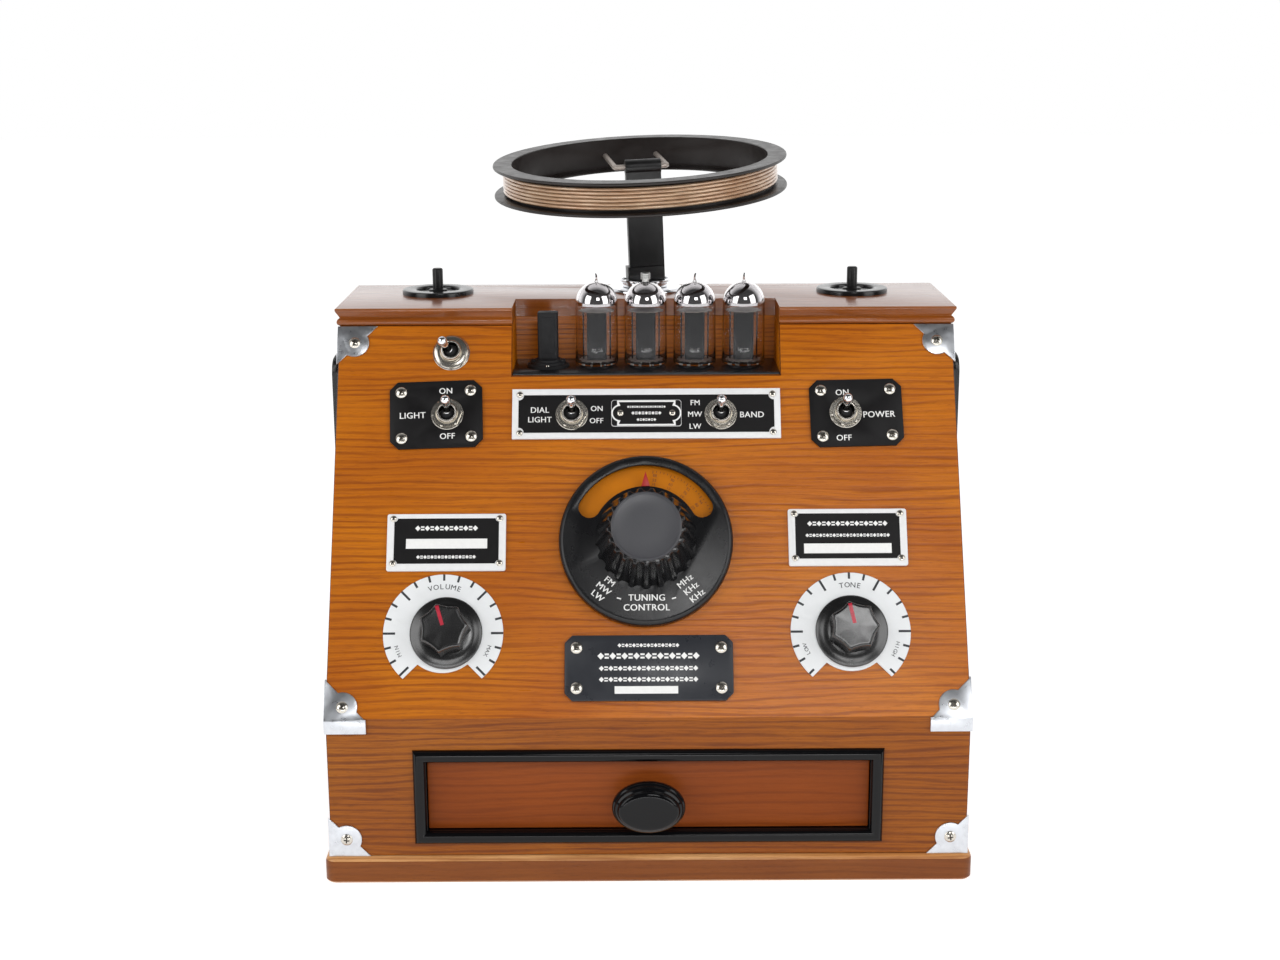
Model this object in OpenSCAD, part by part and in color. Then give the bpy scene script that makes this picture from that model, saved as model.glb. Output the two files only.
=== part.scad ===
// Table radio receiver: a sloped wooden desk cabinet with switch plates, a big tuning dial,
// four glass valves in a recess, a drawer below and a loop aerial on top.
// Millimetres. X runs to the right, the front faces -Y, Z is up.
// The origin is the middle of the underside of the plinth.

/* [Cabinet] */
// Width of the wooden body
body_w = 335; // [320:1:360]
// Depth of the wooden body at its base
body_d = 191; // [186:1:215]
// Height of the body below the lid
body_h = 280; // [274:1:300]
// Height of the crease between the upright and the sloped front, in percent of the body's height
crease_share = 32.5; // [31.5:0.1:34]
// Lean of the sloped front back from upright, in degrees
slope_angle = 28.6; // [27:0.1:29.5]
// Thickness of the front boards
front_t = 8; // [7:0.5:9]
// Thickness of the side boards
side_t = 10; // [9:0.5:12]
// Thickness of the back board
back_t = 5; // [4:0.5:6]

/* [Lid and plinth] */
// Thickness of the lid
lid_t = 9.7; // [8.5:0.1:11]
// Overhang of the lid all round
lid_over = 2.3; // [1.6:0.1:3]
// Height of the plinth
plinth_h = 14.3; // [13:0.1:16]
// Overhang of the plinth all round
plinth_over = 3.4; // [3:0.1:4]

/* [Valve recess] */
// Inside width of the recess
recess_w = 146; // [143:1:150]
// Distance from the slope's top edge down to the lip of the recess
recess_drop = 29.27; // [26:0.01:30.5]
// Distance from the slope's top edge to the recess's back wall
recess_back = 31.5; // [28:0.5:36]
// Thickness of the recess walls
recess_t = 4; // [3:0.5:5]
// Thickness of the black valve shelf
shelf_t = 1.4; // [1:0.1:2.5]
// Pitch of the valves and the crystal can
valve_pitch = 27; // [26.5:0.1:27.5]
// Diameter of a valve's glass
valve_d = 23.8; // [22.5:0.1:24.2]
// Height of a valve's glass
valve_h = 47; // [44:0.2:49]
// Thickness of a valve's glass
glass_t = 0.9; // [0.7:0.1:1.2]
// Diameter of a valve's socket
socket_d = 20; // [18:0.5:21]
// Height of the crystal can
can_h = 26; // [23:0.5:29]

/* [Tuning dial] */
// Place of the dial's centre up the slope, in percent of the slope's length
dial_place = 43.43; // [42.9:0.01:44.1]
// Radius of the dial's rim, in percent of the slope's length
dial_share = 21.43; // [21:0.01:21.8]
// Height of the dial's rim above the panel
dial_h = 7; // [6.5:0.1:8]
// Distance from the rim's edge in to the middle of the arc window
window_in = 11.6; // [11.3:0.1:11.9]
// Half the width of the arc window
window_half = 5.7; // [5:0.1:5.9]
// Half the angle that the arc window spans
window_angle = 60; // [50:1:70]
// Distance from the rim's edge in to the tuning knob's foot
knob_in = 19.1; // [18.6:0.1:20]
// Taper of the tuning knob from its foot to its top, in radius
knob_taper = 6.6; // [6:0.1:7]
// Height of the tuning knob
knob_h = 28.3; // [26:0.1:30]
// Number of flutes round the tuning knob
knob_flutes = 21; // [17:1:23]

/* [Volume and tone] */
// Distance from the cabinet's side to each control
control_in = 60.7; // [57.5:0.1:62.5]
// Distance up the slope to the controls
control_s = 44.6; // [43:0.1:46]
// Radius of the scale plates
control_plate_r = 31.5; // [30.5:0.1:32]
// Radius of the narrow ring at the foot of the scale plates
plate_ring_r = 20.9; // [20:0.1:23]
// Radius of the knobs' skirts
control_knob_r = 19; // [18.4:0.1:19.4]
// Height of the knobs
control_knob_h = 17.8; // [16:0.1:19]
// Turn of the volume knob's pointer from straight up, in degrees
volume_turn = 15; // [0:1:30]
// Turn of the tone knob's pointer from straight up, in degrees
tone_turn = 12; // [0:1:30]

/* [Switches] */
// Distance from the slope's top edge down to the switches
switch_drop = 51.17; // [49.8:0.01:52.7]
// Width of the light and power plates
plate_w = 50; // [48:0.5:52]
// Height of the light and power plates
plate_h = 37.6; // [36:0.2:39]
// Thickness of every metal plate
plate_t = 1.6; // [1.2:0.1:2]
// Width of the long switch plate, in percent of the body's width
long_plate_share = 43.25; // [42.7:0.01:43.8]
// Height of the long switch plate
long_plate_h = 28; // [27:0.2:29.5]
// Distance from the middle to the two switches on the long plate
long_switch_x = 40.2; // [38:0.1:43]
// Tilt of a switch lever from the middle, in degrees
lever_tilt = 18; // [14:1:20]
// Length of a switch lever above its pivot
lever_len = 13.5; // [12:0.5:15]
// Radius of a switch's threaded bush
bush_r = 5.6; // [5.3:0.1:6]

/* [Badges] */
// Width of the two side badges
badge_w = 63; // [60:0.5:64]
// Height of the two side badges
badge_h = 31; // [30:0.1:32]
// Distance up the slope to the side badges
badge_s = 94.2; // [92.5:0.1:96]
// Width of the lower badge
low_badge_w = 88; // [84:0.5:92]
// Height of the lower badge
low_badge_h = 34.5; // [32:0.5:36]
// Place of the lower badge up the slope, in percent of the slope's length
low_badge_place = 11.98; // [11.4:0.01:12.3]
// Diameter of the panel screws' heads
screw_d = 6.2; // [5.4:0.1:6.6]

/* [Drawer] */
// Width of the drawer's opening
drawer_w = 232.6; // [226:0.2:240]
// Height of the drawer's opening
drawer_h = 38.9; // [36:0.1:40]
// Height of the opening's lower edge above the table
drawer_z = 28; // [27.5:0.1:29.5]
// Width of the black half-round frame
frame_w = 6.7; // [5.8:0.1:7]
// Room between the shut drawer and the back board
drawer_room = 56.5; // [50:0.5:74]
// Thickness of the drawer's walls
drawer_t = 3.5; // [3:0.1:5]
// Width of the oval drawer knob
pull_w = 38; // [34:0.5:42]
// Height of the oval drawer knob
pull_h = 28; // [25:0.5:29]
// Distance that the drawer knob stands out
pull_out = 20; // [16:0.5:24]

/* [Corner guards] */
// Length of a guard's edges
guard_leg = 22; // [20:0.5:23]
// Radius of a guard's round lobe
guard_lobe_r = 7.9; // [7.2:0.1:8.2]
// Thickness of a guard
guard_t = 0.9; // [0.7:0.1:1.2]
// Distance from the corner to a guard's screw
guard_screw = 9.6; // [9:0.1:10]

/* [Top terminals] */
// Distance from the cabinet's side to each terminal
terminal_in = 48.6; // [45.2:0.2:55]
// Distance from the lid's back edge to each terminal
terminal_back = 33.8; // [30:0.2:38]
// Diameter of a terminal's flange
terminal_d = 40.6; // [37:0.2:43]
// Height of a terminal's peg above the lid
peg_h = 14.4; // [12:0.2:17]

/* [Loop aerial] */
// Distance from the lid's back edge to the mast
mast_back = 23; // [22.5:0.5:24]
// Radius of the chrome base disc
base_r = 22; // [20:0.5:22.4]
// Height of the loop's hinge above the lid
hinge_up = 70.7; // [68:0.1:76]
// Width of the mast
mast_w = 20.2; // [18:0.2:21]
// Thickness of the mast
mast_t = 6; // [5:0.2:7]
// Turn of the mast at rest, in degrees
mast_turn = 8; // [0:0.5:12]
// Lean of the mast to the left, in degrees
mast_lean = 2.1; // [0:0.1:3]
// Tilt of the loop at rest, front down, in degrees
loop_tilt = 4.9; // [0:0.1:8]
// Radius of the loop's flanges
loop_r = 81.7; // [79:0.1:84]
// Thickness of the loop's hub between the winding and the open middle
hub_wall = 2.6; // [2:0.1:4]
// Height of the loop over both flanges
loop_h = 18.1; // [17.5:0.1:19]
// Thickness of each flange
flange_t = 1.6; // [1.3:0.1:1.7]
// Distance from the hinge to the loop's centre
loop_reach = 26.6; // [25:0.2:28]
// Diameter of the aerial wire
wire_d = 1.55; // [1.4:0.05:1.55]
// Gap between two turns of wire
wire_gap = 0.45; // [0.42:0.01:0.47]
// Distance from the flanges' edge in to the winding
wire_inset = 5.3; // [4.8:0.1:6]
// Number of turns of aerial wire
wire_turns = 6; // [4:1:6]
// Diameter of the silver bail
bail_d = 3; // [2.4:0.1:3.2]

/* [Speakers] */
// Distance from a side grille's back edge to the cabinet's back
grille_back = 13.45; // [11.5:0.05:17]
// Height of a side grille
grille_h = 118; // [100:1:130]
// Distance from the top of the body down to a side grille
grille_drop = 17; // [14:1:22]
// Distance that a side grille stands out
grille_out = 5.5; // [4.5:0.1:6.5]
// Distance from a side grille's edge in to the speaker's hole
speaker_in = 5; // [4.5:0.1:8]

/* [Hidden] */
$fn = 64;
// Cuts run past a face by this much
eps = 1;

// Clearances
run_gap = 0.3;       // between pieces that move past each other
fit_gap = 0.06;      // between a spindle and its bore
slide_gap = 0.5;     // round the drawer
knob_gap = 0.5;      // below a knob

// Places worked out from the cabinet's sizes
front_y = -body_d / 2;
back_y = body_d / 2;
crease_z = body_h * crease_share / 100;
slope_top_y = front_y + (body_h - crease_z) * tan(slope_angle);
slope_len = (body_h - crease_z) / cos(slope_angle);
mitre_drop = front_t * tan(slope_angle / 2);
lid_z = body_h + lid_t;
lid_front_y = slope_top_y - lid_over;
lid_back_y = back_y + lid_over;
inner_w = body_w - 2 * side_t;
inner_back_y = back_y - back_t;
lid_band = 5.4;      // height of the lid's sloping upper band
lid_slope_in = 2.4;  // the band leans in by this much at its foot
lid_nose = 1.4;      // height of the lid's upright top edge
lid_round = 0.3;
lid_nose_in = 0.2;
lid_bead_in = 1.4;   // the bead's root lies in from its front by this much
plinth_foot = 1.2;   // chamfer at the plinth's foot
plinth_cap = [[0, 3], [0.9, 1], [2.4, 0]];  // rounded top edge: in from the side, down from the top

// Valve recess
recess_s = slope_len - recess_drop;
lip_z = crease_z + recess_s * cos(slope_angle);
lip_y = front_y + recess_s * sin(slope_angle);
recess_back_y = slope_top_y + recess_back;
shelf_z = lip_z + shelf_t;
shelf_setback = 1.6;
valve_back = 8.3;    // the valves stand back of the slope's top edge by this much
valve_y = slope_top_y + valve_back;
valve_xs = [for (i = [-1 : 2]) i * valve_pitch];
can_x = -2 * valve_pitch;
socket_h = 1.2;
tip_h = 5.2;         // height of the tip on a valve's dome
tip_sink = 0.3;
cap_tip_r = 2.6;     // the second valve has a round metal cap there
plates = [10.8, 7.6];
plate_top = 31.3;    // height of the electrodes above the shelf
mica_t = 0.8;
mica_in = 2.4;
can_size = [11.2, 8];
can_back = 1.2;      // the can stands back of its base's centre by this much
can_base_d = 23.5;
can_base_h = 4.2;

// Tuning dial, heights above the sloped face
dial_left = 0.65;    // the dial stands this much to the left
dial_x = -dial_left;
dial_s = slope_len * dial_place / 100;
dial_r = slope_len * dial_share / 100;
window_r = dial_r - window_in;
knob_r = dial_r - knob_in;
knob_top_r = knob_r - knob_taper;
rim_wall = 2.6;
rim_round = 3;
face_t = 1.8;        // thickness of the dial's face round the window
scale_t = 1.2;
scale_gap = 2.8;     // between the turning scale and the dial's face
scale_h = dial_h - face_t - scale_gap - scale_t;
cursor_half = 2.3;
cursor_sink = 0.5;
cursor_reach = 2.5;  // past the middle of the window
cursor_gap = 0.02;   // between the cursor's foot and the window's edge
spindle_r = 3;
cap_in = 2.2;        // from the knob's top edge in to its grey cap
cap_r = knob_top_r - cap_in;
cap_t = 1.2;
tuning_foot = dial_h + knob_gap;
flute_share = 0.087; // a flute's radius in knob radii
flute_r = knob_r * flute_share;
flute_out = 0.9;     // a flute's centre lies outside the knob's foot by this much

// Variable capacitor behind the panel: its vanes ride on the spindle
cap_box = [46, 46, 30];
cap_plate_t = 2;
vane_count = 5;
vane_pitch = 4.4;
vane_t = 1;
vane_r = 17;
vane_start = 5;
cap_back = front_t + cap_box[2];

// Volume and tone
control_x = body_w / 2 - control_in;
volume_right = 1.25; // the volume knob sits off the middle of its plate
volume_x = volume_right - control_x;
plate_left = 0.4;    // both scale plates sit this much to the left
scale_plate_t = 1;   // thickness of the round scale plates
plate_notch = 2.3;   // width of a scale plate beyond its lowest marks
grip_sides = 7;
grip_r = 12.9;
grip_foot_r = 14.4;
flank_r = 9;         // radius of the hollow in each flank of the grip
flank_in = 2.3;      // depth of that hollow
skirt_edge = 1.6;
skirt_h = 3.4;
pot_r = 12;
pot_depth = 11;
pot_bush_r = 4.6;
pot_back = 2;        // thickness of a potentiometer's closed back
control_foot = scale_plate_t + knob_gap;
CONTROLS = [volume_x, control_x];
knob_top_t = 4;      // solid top of a knob over its spindle
spindle_up = control_foot + control_knob_h - knob_top_t;

plate_sink = 0.3;    // depth of the dark field inside a plate's bright rim
bush_gap = 0.2;      // round a bush in its hole

// Switches: [name, x, distance up the slope, turn of the lever's lean, nut radius, height of its seat]
lever_r = 2.1;
lever_foot_r = 1.7;
lever_tip_r = 2.7;
bush_up = 6.2;
bush_bore_r = 4.4;
ball_gap = 0.5;      // between a lever's ball and its bush
pivot_r = bush_bore_r - ball_gap;
pivot_half = bush_bore_r - run_gap;  // half the length of the pin through the ball
pivot_pin_r = 1.2;
pivot_h = 1.6;       // height of a lever's pivot above the panel
switch_body = [13, 20, 22];
nut_t = 1.8;
washer_t = 0.8;
washer_out = 0.6;    // the washer reaches past the nut's corners by this much
nut_r = 8.2;
spare_nut_r = 9.5;
switch_s = slope_len - switch_drop;
plate_in = 54.1;     // from the side to the middle of a small switch plate
plate_x = body_w / 2 - plate_in;
toggle_off = [6, 5.8];  // both switches sit off the middle of their plates
light_toggle_x = toggle_off[0] - plate_x;
power_toggle_x = plate_x - toggle_off[1];
spare_in = 61.5;     // from the side to the spare switch
spare_drop = 15.87;  // and down to it from the slope's top edge
spare_turn = 62;
spare_toggle = [spare_in - body_w / 2, slope_len - spare_drop, spare_turn];
long_plate_w = body_w * long_plate_share / 100;
long_drop = 0.4;     // the switches on the long plate sit this much low
SWITCHES = [
  ["power", power_toggle_x, switch_s, 0, nut_r, plate_t],
  ["light", light_toggle_x, switch_s, 0, nut_r, plate_t],
  ["dial_light", -long_switch_x, switch_s - long_drop, 0, nut_r, plate_t - plate_sink],
  ["band", long_switch_x, switch_s - long_drop, 0, nut_r, plate_t - plate_sink],
  ["spare", spare_toggle[0], spare_toggle[1], spare_toggle[2], spare_nut_r, 0]
];
plate_chamfer = 4.4;
plate_turns = [1.8, 1.08];  // both small plates are fitted a little crooked, left and right
plate_screw = [18.7, 12.9];
long_screw_in = 4.15;
long_screw = [long_plate_w / 2 - long_screw_in, 10.8];
long_rim = 3.3;
badge_in = 61.05;    // a side badge's middle from the side
badge_x = body_w / 2 - badge_in;
badge_lean = 0.9;    // the left badge sits this much lower and the right one this much higher
badge_field = [55.6, 24.6];
badge_screw = [28.2, 12.1];
badge_rise = 0.8;    // its screws and field are this much above its middle
centre_badge = [37.8, 14.8];
centre_badge_t = 1;
centre_screw = 14;
low_screw = [37.8, 10.6];
low_chamfer = 4;
low_badge_x = 0.5;
low_badge_s = slope_len * low_badge_place / 100;
low_badge_t = 2;
screw_h = 1.5;
screw_dome = 1.6;    // radius of a head's crown, in head radii
small_screw_r = 1.7;
small_screw_h = 1.1;
back_screw_in = 8;   // from the cabinet's inner sides to the screws of the back panel
back_screw_drop = 14;

guard_tip = 2.4;     // width of the blunt ends of a guard's edges
guard_fold = 8;      // the crease guards fold down over the upright front by this much
guard_side = 14.3;   // and reach back along the sides by this much
crease_sink = 1.3;   // they reach over the crease by this much before they fold
crease_drop = 2.3;   // their screws sit this much nearer the fold
top_side_share = 0.74;  // the upper guards' side flanges are smaller, to clear the grilles

// Drawer
drawer_top = drawer_z + drawer_h;
drawer_face_in = 2.5;
drawer_face_t = 9;
drawer_face_y = front_y + drawer_face_in;
drawer_back_y = inner_back_y - drawer_room;
drawer_len = drawer_back_y - drawer_face_y - drawer_face_t;
box_gap = 4;         // between the drawer's box and the top of the opening
pull_z = drawer_z + drawer_h / 2 - 0.9;
pull_neck_r = 5.5;
pull_foot_r = 7.5;
pull_foot_h = 3;
pull_t = 10;         // thickness of the oval knob
pull_steps = [[0, 6, 0], [6, 2, 3], [8, 2, 9]];  // height, thickness and how much smaller it is
runner_w = 12;
runner_wall = 6;

// Terminals and aerial
terminal_x = body_w / 2 - terminal_in;
terminal_y = lid_back_y - terminal_back;
terminal_hole_r = 12.2;
flange_h = 2.6;
flange_round = 1.2;
flange_floor = 1;    // thickness of the flange under its hole
peg_r = 3;
peg_chamfer = 0.8;
peg_collar = [5.2, 1.4];
bail_slide = 1.9;    // room for the bail to slide sideways
mast_shift = 1.3;    // the mast stands off the middle of its collar
mast_y = lid_back_y - mast_back;
base_t = 2;
table_r = 14.6;
table_t = 4.2;
table_lip = 1.6;
table_groove = 1.4;  // the turntable is this much smaller below its lip
pin_r = 4;
pin_foot_r = 8;      // the disc under the lid that holds the mast down
pin_foot_h = 3.3;
collar_w = mast_w + 0.3;
collar_t = 12;
collar_h = 7.4;
table_z = lid_z + base_t + run_gap;
collar_z = table_z + table_t;
hinge_z = lid_z + hinge_up;
knuckle_r = 4.2;
bail_slip = 0.5;     // the bail has slid a little to one side
loop_shift = -4.1;   // the loop's middle from the mast's line, sideways and upwards
loop_rise = 0.5;
loop_roll = 0.8;     // the loop leans this much more than the mast, in degrees
bail_bend = 0.75;    // radius of the bail's bends, in wire diameters
bail_half = mast_w / 2 + bail_slide + bail_d;
prong_in = 1;        // the prongs enter the former's wall by this much

// Winding: a hexagonal tube that climbs one pitch in each turn
loop_steps = 24;
tube_sides = 6;
wire_pitch = wire_d + wire_gap;
wire_r = wire_d / 2;
wind_r = loop_r - wire_inset - wire_r;
hub_gap = 0.3;       // between the hub and the turns
hub_r = wind_r * cos(180 / loop_steps) - wire_r - hub_gap;
loop_hole_r = hub_r - hub_wall;
wind_low = -(wire_turns * wire_pitch) / 2;
anchor_len = 6;
anchor_sink = 0.6;

// Speakers
grille_front_y = slope_top_y - 1.5;
grille_w = back_y - grille_back - grille_front_y;
speaker_r = grille_w / 2 - speaker_in;
grille_top = body_h - grille_drop;
grille_mid_y = grille_front_y + grille_w / 2;
speaker_z = grille_top - grille_h / 2;
grille_r = 9;
grille_skin = 1.6;
speaker_flange_r = speaker_r + 5;
speaker_flange_t = 2;
cone_depth = 18;
cone_back_r = 15;
cone_t = 2;
magnet_r = 17;
magnet_t = 11;
grille_step = 1;     // each step of the rounded front edge
grille_wall = 6;
slot_edge = 11;      // from the grille's sides to the ends of its slots
slot_pitch = 7.4;
slot_h = 3;
slots = 2 * floor((grille_h / 2 - grille_wall - slot_pitch / 2) / slot_pitch) + 1;

// Back panel and what stands inside the cabinet, which the front view doesn't show
vent_rows = 9;
vent_x = 62;
vent_size = [80, 3.2];
vent_drop = 36;
vent_pitch = 9;
inlet_w = 20;
inlet_h = 14;
inlet_z = 52;
inlet_depth = 13;
inlet_wall = 2;
inlet_flange = [5, 4, 2];  // beyond the body sideways and upwards, and its thickness
board = [150, 70];
board_t = 1.6;
board_z = 150;
spacer_h = 6;
spacer_r = 3;
spacer_in = 6;       // from the board's edges to its spacers
can_pitch = 26;      // the row of capacitors on the board
can_r = 5;
can_up = 12;
core = [48, 34, 42];
coil_in = [8, 7];    // the transformer's coil lies in from its core sideways and upwards
coil_out = 2;        // and stands out at the front and back by this much
foot_out = 8;
foot_t = 2;
transformer_x = -70;
transformer_gap = 4; // behind the shut drawer

// Local frame on the sloped front: x to the right, y up the slope, z out of it
module on_slope(x = 0, s = 0, h = 0)
  translate([0, front_y, crease_z]) rotate([90 - slope_angle, 0, 0]) translate([x, s, h]) children();

// Local frame on the upright front: x to the right, y up, z out of it
module on_front(x = 0, z = 0)
  translate([x, front_y, z]) rotate([90, 0, 0]) children();

module both_sides() {
  children();
  mirror([1, 0, 0]) children();
}

// A slab that runs along X with the outline given as [y, z]
module along_x(w)
  rotate([90, 0, 90]) linear_extrude(w, center = true) children();

module rounded(size, r) {
  square([size[0] - 2 * r, size[1]], center = true);
  square([size[0], size[1] - 2 * r], center = true);
  for (x = [-1, 1], y = [-1, 1])
    translate([x * (size[0] / 2 - r), y * (size[1] / 2 - r)]) circle(r);
}

module chamfered(size, c)
  polygon([
    [-size[0] / 2 + c, -size[1] / 2], [size[0] / 2 - c, -size[1] / 2],
    [size[0] / 2, -size[1] / 2 + c], [size[0] / 2, size[1] / 2 - c],
    [size[0] / 2 - c, size[1] / 2], [-size[0] / 2 + c, size[1] / 2],
    [-size[0] / 2, size[1] / 2 - c], [-size[0] / 2, -size[1] / 2 + c]
  ]);

module oval(w, h, n = 48)
  polygon([for (i = [0 : n - 1]) [w / 2 * cos(360 * i / n), h / 2 * sin(360 * i / n)]]);

module ring(r_out, r_in, h)
  difference() {
    cylinder(h, r = r_out);
    translate([0, 0, -eps]) cylinder(h + 2 * eps, r = r_in);
  }

// Cabinet boards
module side_outline()
  polygon([
    [front_y + front_t, plinth_h],
    [front_y + front_t, crease_z - mitre_drop],
    [slope_top_y + front_t / cos(slope_angle), body_h],
    [back_y, body_h],
    [back_y, plinth_h]
  ]);

module side(dir) color("#b8651c")
  difference() {
    translate([dir * (body_w - side_t) / 2, 0, 0]) along_x(side_t) side_outline();
    translate([dir * (body_w / 2 - side_t / 2), grille_mid_y, speaker_z])
      rotate([0, 90, 0]) cylinder(side_t + 2 * eps, r = speaker_r, center = true);
  }
module left_side() side(-1);
module right_side() side(1);

module sloped_panel() color("#c8741e")
  difference() {
    along_x(body_w) polygon([
      [front_y, crease_z], [slope_top_y, body_h],
      [slope_top_y + front_t / cos(slope_angle), body_h],
      [front_y + front_t, crease_z - mitre_drop]
    ]);
    translate([-recess_w / 2, lip_y - 2 * front_t, lip_z]) cube([recess_w, body_d, body_h]);
    for (x = CONTROLS) on_slope(x, control_s, -front_t - eps)
      cylinder(front_t + 2 * eps, r = pot_bush_r + bush_gap);
    on_slope(dial_x, dial_s, -front_t - eps) cylinder(front_t + 2 * eps, r = spindle_r + 1);
    for (s = SWITCHES) on_slope(s[1], s[2], -front_t - eps)
      cylinder(front_t + 2 * eps, r = bush_r + bush_gap);
  }

module lower_panel() color("#c8741e")
  difference() {
    along_x(body_w) polygon([
      [front_y, plinth_h], [front_y, crease_z],
      [front_y + front_t, crease_z - mitre_drop], [front_y + front_t, plinth_h]
    ]);
    translate([-drawer_w / 2, front_y - eps, drawer_z]) cube([drawer_w, front_t + 2 * eps, drawer_h]);
  }

// An outline's right-hand points, listed upwards, and the same points mirrored
function both_ways(points) = concat(points,
  [for (i = [len(points) - 1 : -1 : 0]) [-points[i][0], points[i][1]]]);

// The moulded edge: a sloping upper band over a rounded bead
module lid_edge(half) {
  bead_r = (lid_t - lid_band) / 2;
  edge = half + lid_over - lid_nose_in;
  polygon(both_ways([
    [edge - bead_r - lid_bead_in, body_h], [edge - lid_slope_in, lid_z - lid_band],
    [edge, lid_z - lid_nose], [edge, lid_z - lid_round], [edge - lid_round, lid_z]
  ]));
  for (m = [-1, 1]) translate([m * (edge - bead_r - lid_bead_in / 2), body_h + bead_r]) circle(bead_r);
}

module top_lid() color("#d3b79c")
  difference() {
    intersection() {
      rotate([90, 0, 0]) linear_extrude(3 * body_d, center = true) lid_edge(body_w / 2);
      along_x(2 * body_w) translate([(lid_front_y + lid_back_y) / 2, 0])
        lid_edge((lid_back_y - lid_front_y) / 2 - lid_over);
    }
    translate([-recess_w / 2, lid_front_y - eps, body_h - eps])
      cube([recess_w, recess_back_y - lid_front_y + eps, lid_t + 2 * eps]);
    translate([0, mast_y, body_h - eps]) cylinder(lid_t + 2 * eps, r = pin_r + 1);
  }

module plinth_edge(half) {
  edge = half + plinth_over;
  polygon(both_ways(concat([[edge - plinth_foot, 0], [edge, plinth_foot]],
    [for (p = plinth_cap) [edge - p[0], plinth_h - p[1]]])));
}

module plinth() color("#b8651c")
  intersection() {
    rotate([90, 0, 0]) linear_extrude(2 * body_d, center = true) plinth_edge(body_w / 2);
    along_x(2 * body_w) plinth_edge(body_d / 2);
  }

module back_panel() color("#6b4320")
  difference() {
    translate([-inner_w / 2, inner_back_y, plinth_h]) cube([inner_w, back_t, body_h - plinth_h]);
    for (i = [0 : vent_rows - 1], x = [-1, 1])
      translate([x * vent_x - vent_size[0] / 2, inner_back_y - eps, body_h - vent_drop - i * vent_pitch])
        cube([vent_size[0], back_t + 2 * eps, vent_size[1]]);
    translate([0, inner_back_y - eps, inlet_z]) rotate([-90, 0, 0])
      linear_extrude(back_t + 2 * eps) square([inlet_w, inlet_h], center = true);
  }

// The open wooden box round the valves
module valve_recess() color("#a85c1e")
  difference() {
    translate([-recess_w / 2 - recess_t, lip_y, lip_z - recess_t])
      cube([recess_w + 2 * recess_t, recess_back_y - lip_y + recess_t, body_h - lip_z + recess_t]);
    translate([-recess_w / 2, lip_y - eps, lip_z])
      cube([recess_w, recess_back_y - lip_y + eps, body_h]);
    // Cut back to the inner face of the sloped panel
    along_x(body_w) polygon([
      [front_y - body_d, crease_z], [front_y + front_t / cos(slope_angle), crease_z],
      [slope_top_y + front_t / cos(slope_angle) + lid_t * tan(slope_angle), lid_z],
      [front_y - body_d, lid_z]
    ]);
  }

module valve_shelf() color("#151515") {
  translate([-recess_w / 2, lip_y + shelf_setback, lip_z])
    cube([recess_w, recess_back_y - lip_y - shelf_setback, shelf_t]);
  for (x = valve_xs) translate([x, valve_y, shelf_z]) cylinder(socket_h, d = socket_d);
}

// Valves
dome_r = valve_d / 2;
module valve_glass(x) color("#dfe8ec", 0.4)
  translate([x, valve_y, shelf_z]) rotate_extrude()
    difference() {
      union() {
        square([valve_d / 2, valve_h - dome_r]);
        intersection() {
          translate([0, valve_h - dome_r]) circle(dome_r);
          square([valve_d, valve_h + eps]);
        }
      }
      translate([0, -eps]) square([valve_d / 2 - glass_t, valve_h - dome_r + eps]);
      intersection() {
        translate([0, valve_h - dome_r]) circle(dome_r - glass_t);
        translate([0, valve_h - dome_r - eps]) square([valve_d, valve_h]);
      }
    }
module valve_tip(i, foot_r, top_r)
  translate([valve_xs[i], valve_y, shelf_z + valve_h - tip_sink]) cylinder(tip_h, r1 = foot_r, r2 = top_r);
module pointed_valve(i) color("#dfe8ec", 0.4) {
  valve_glass(valve_xs[i]);
  valve_tip(i, 1.5, 0.5);
}
module valve_1() pointed_valve(0);
module valve_2() color("#dfe8ec", 0.4) {
  valve_glass(valve_xs[1]);
  valve_tip(1, cap_tip_r, cap_tip_r);
}
module valve_3() pointed_valve(2);
module valve_4() pointed_valve(3);

// Each set of electrodes is a pair of plates between two mica discs
module valve_electrodes() color("#3a3a3c")
  for (x = valve_xs) translate([x, valve_y, shelf_z + socket_h]) {
    translate([-plates[0] / 2, -plates[1] / 2, 0]) cube([plates[0], plates[1], plate_top - socket_h]);
    for (z = [mica_in, plate_top - socket_h - mica_in]) translate([0, 0, z])
      cylinder(mica_t, r = valve_d / 2 - glass_t - run_gap);
  }

module crystal_can() color("#111111")
  translate([can_x, valve_y, shelf_z]) {
    cylinder(can_base_h, d = can_base_d);
    translate([0, can_back, can_base_h]) linear_extrude(can_h) rounded(can_size, 1.5);
  }

// Drawer
module drawer_front() color("#8e3f22")
  translate([-drawer_w / 2 + slide_gap, drawer_face_y, drawer_z + slide_gap])
    cube([drawer_w - 2 * slide_gap, drawer_face_t, drawer_h - 2 * slide_gap]);

module drawer_box() color("#9a6a3c")
  difference() {
    translate([-drawer_w / 2 + 2 * slide_gap, drawer_face_y + drawer_face_t, drawer_z + slide_gap])
      cube([drawer_w - 4 * slide_gap, drawer_len, drawer_h - box_gap]);
    translate([-drawer_w / 2 + 2 * slide_gap + drawer_t, drawer_face_y + drawer_face_t + drawer_t,
               drawer_z + slide_gap + drawer_t])
      cube([drawer_w - 4 * slide_gap - 2 * drawer_t, drawer_len - 2 * drawer_t, drawer_h]);
  }

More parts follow.
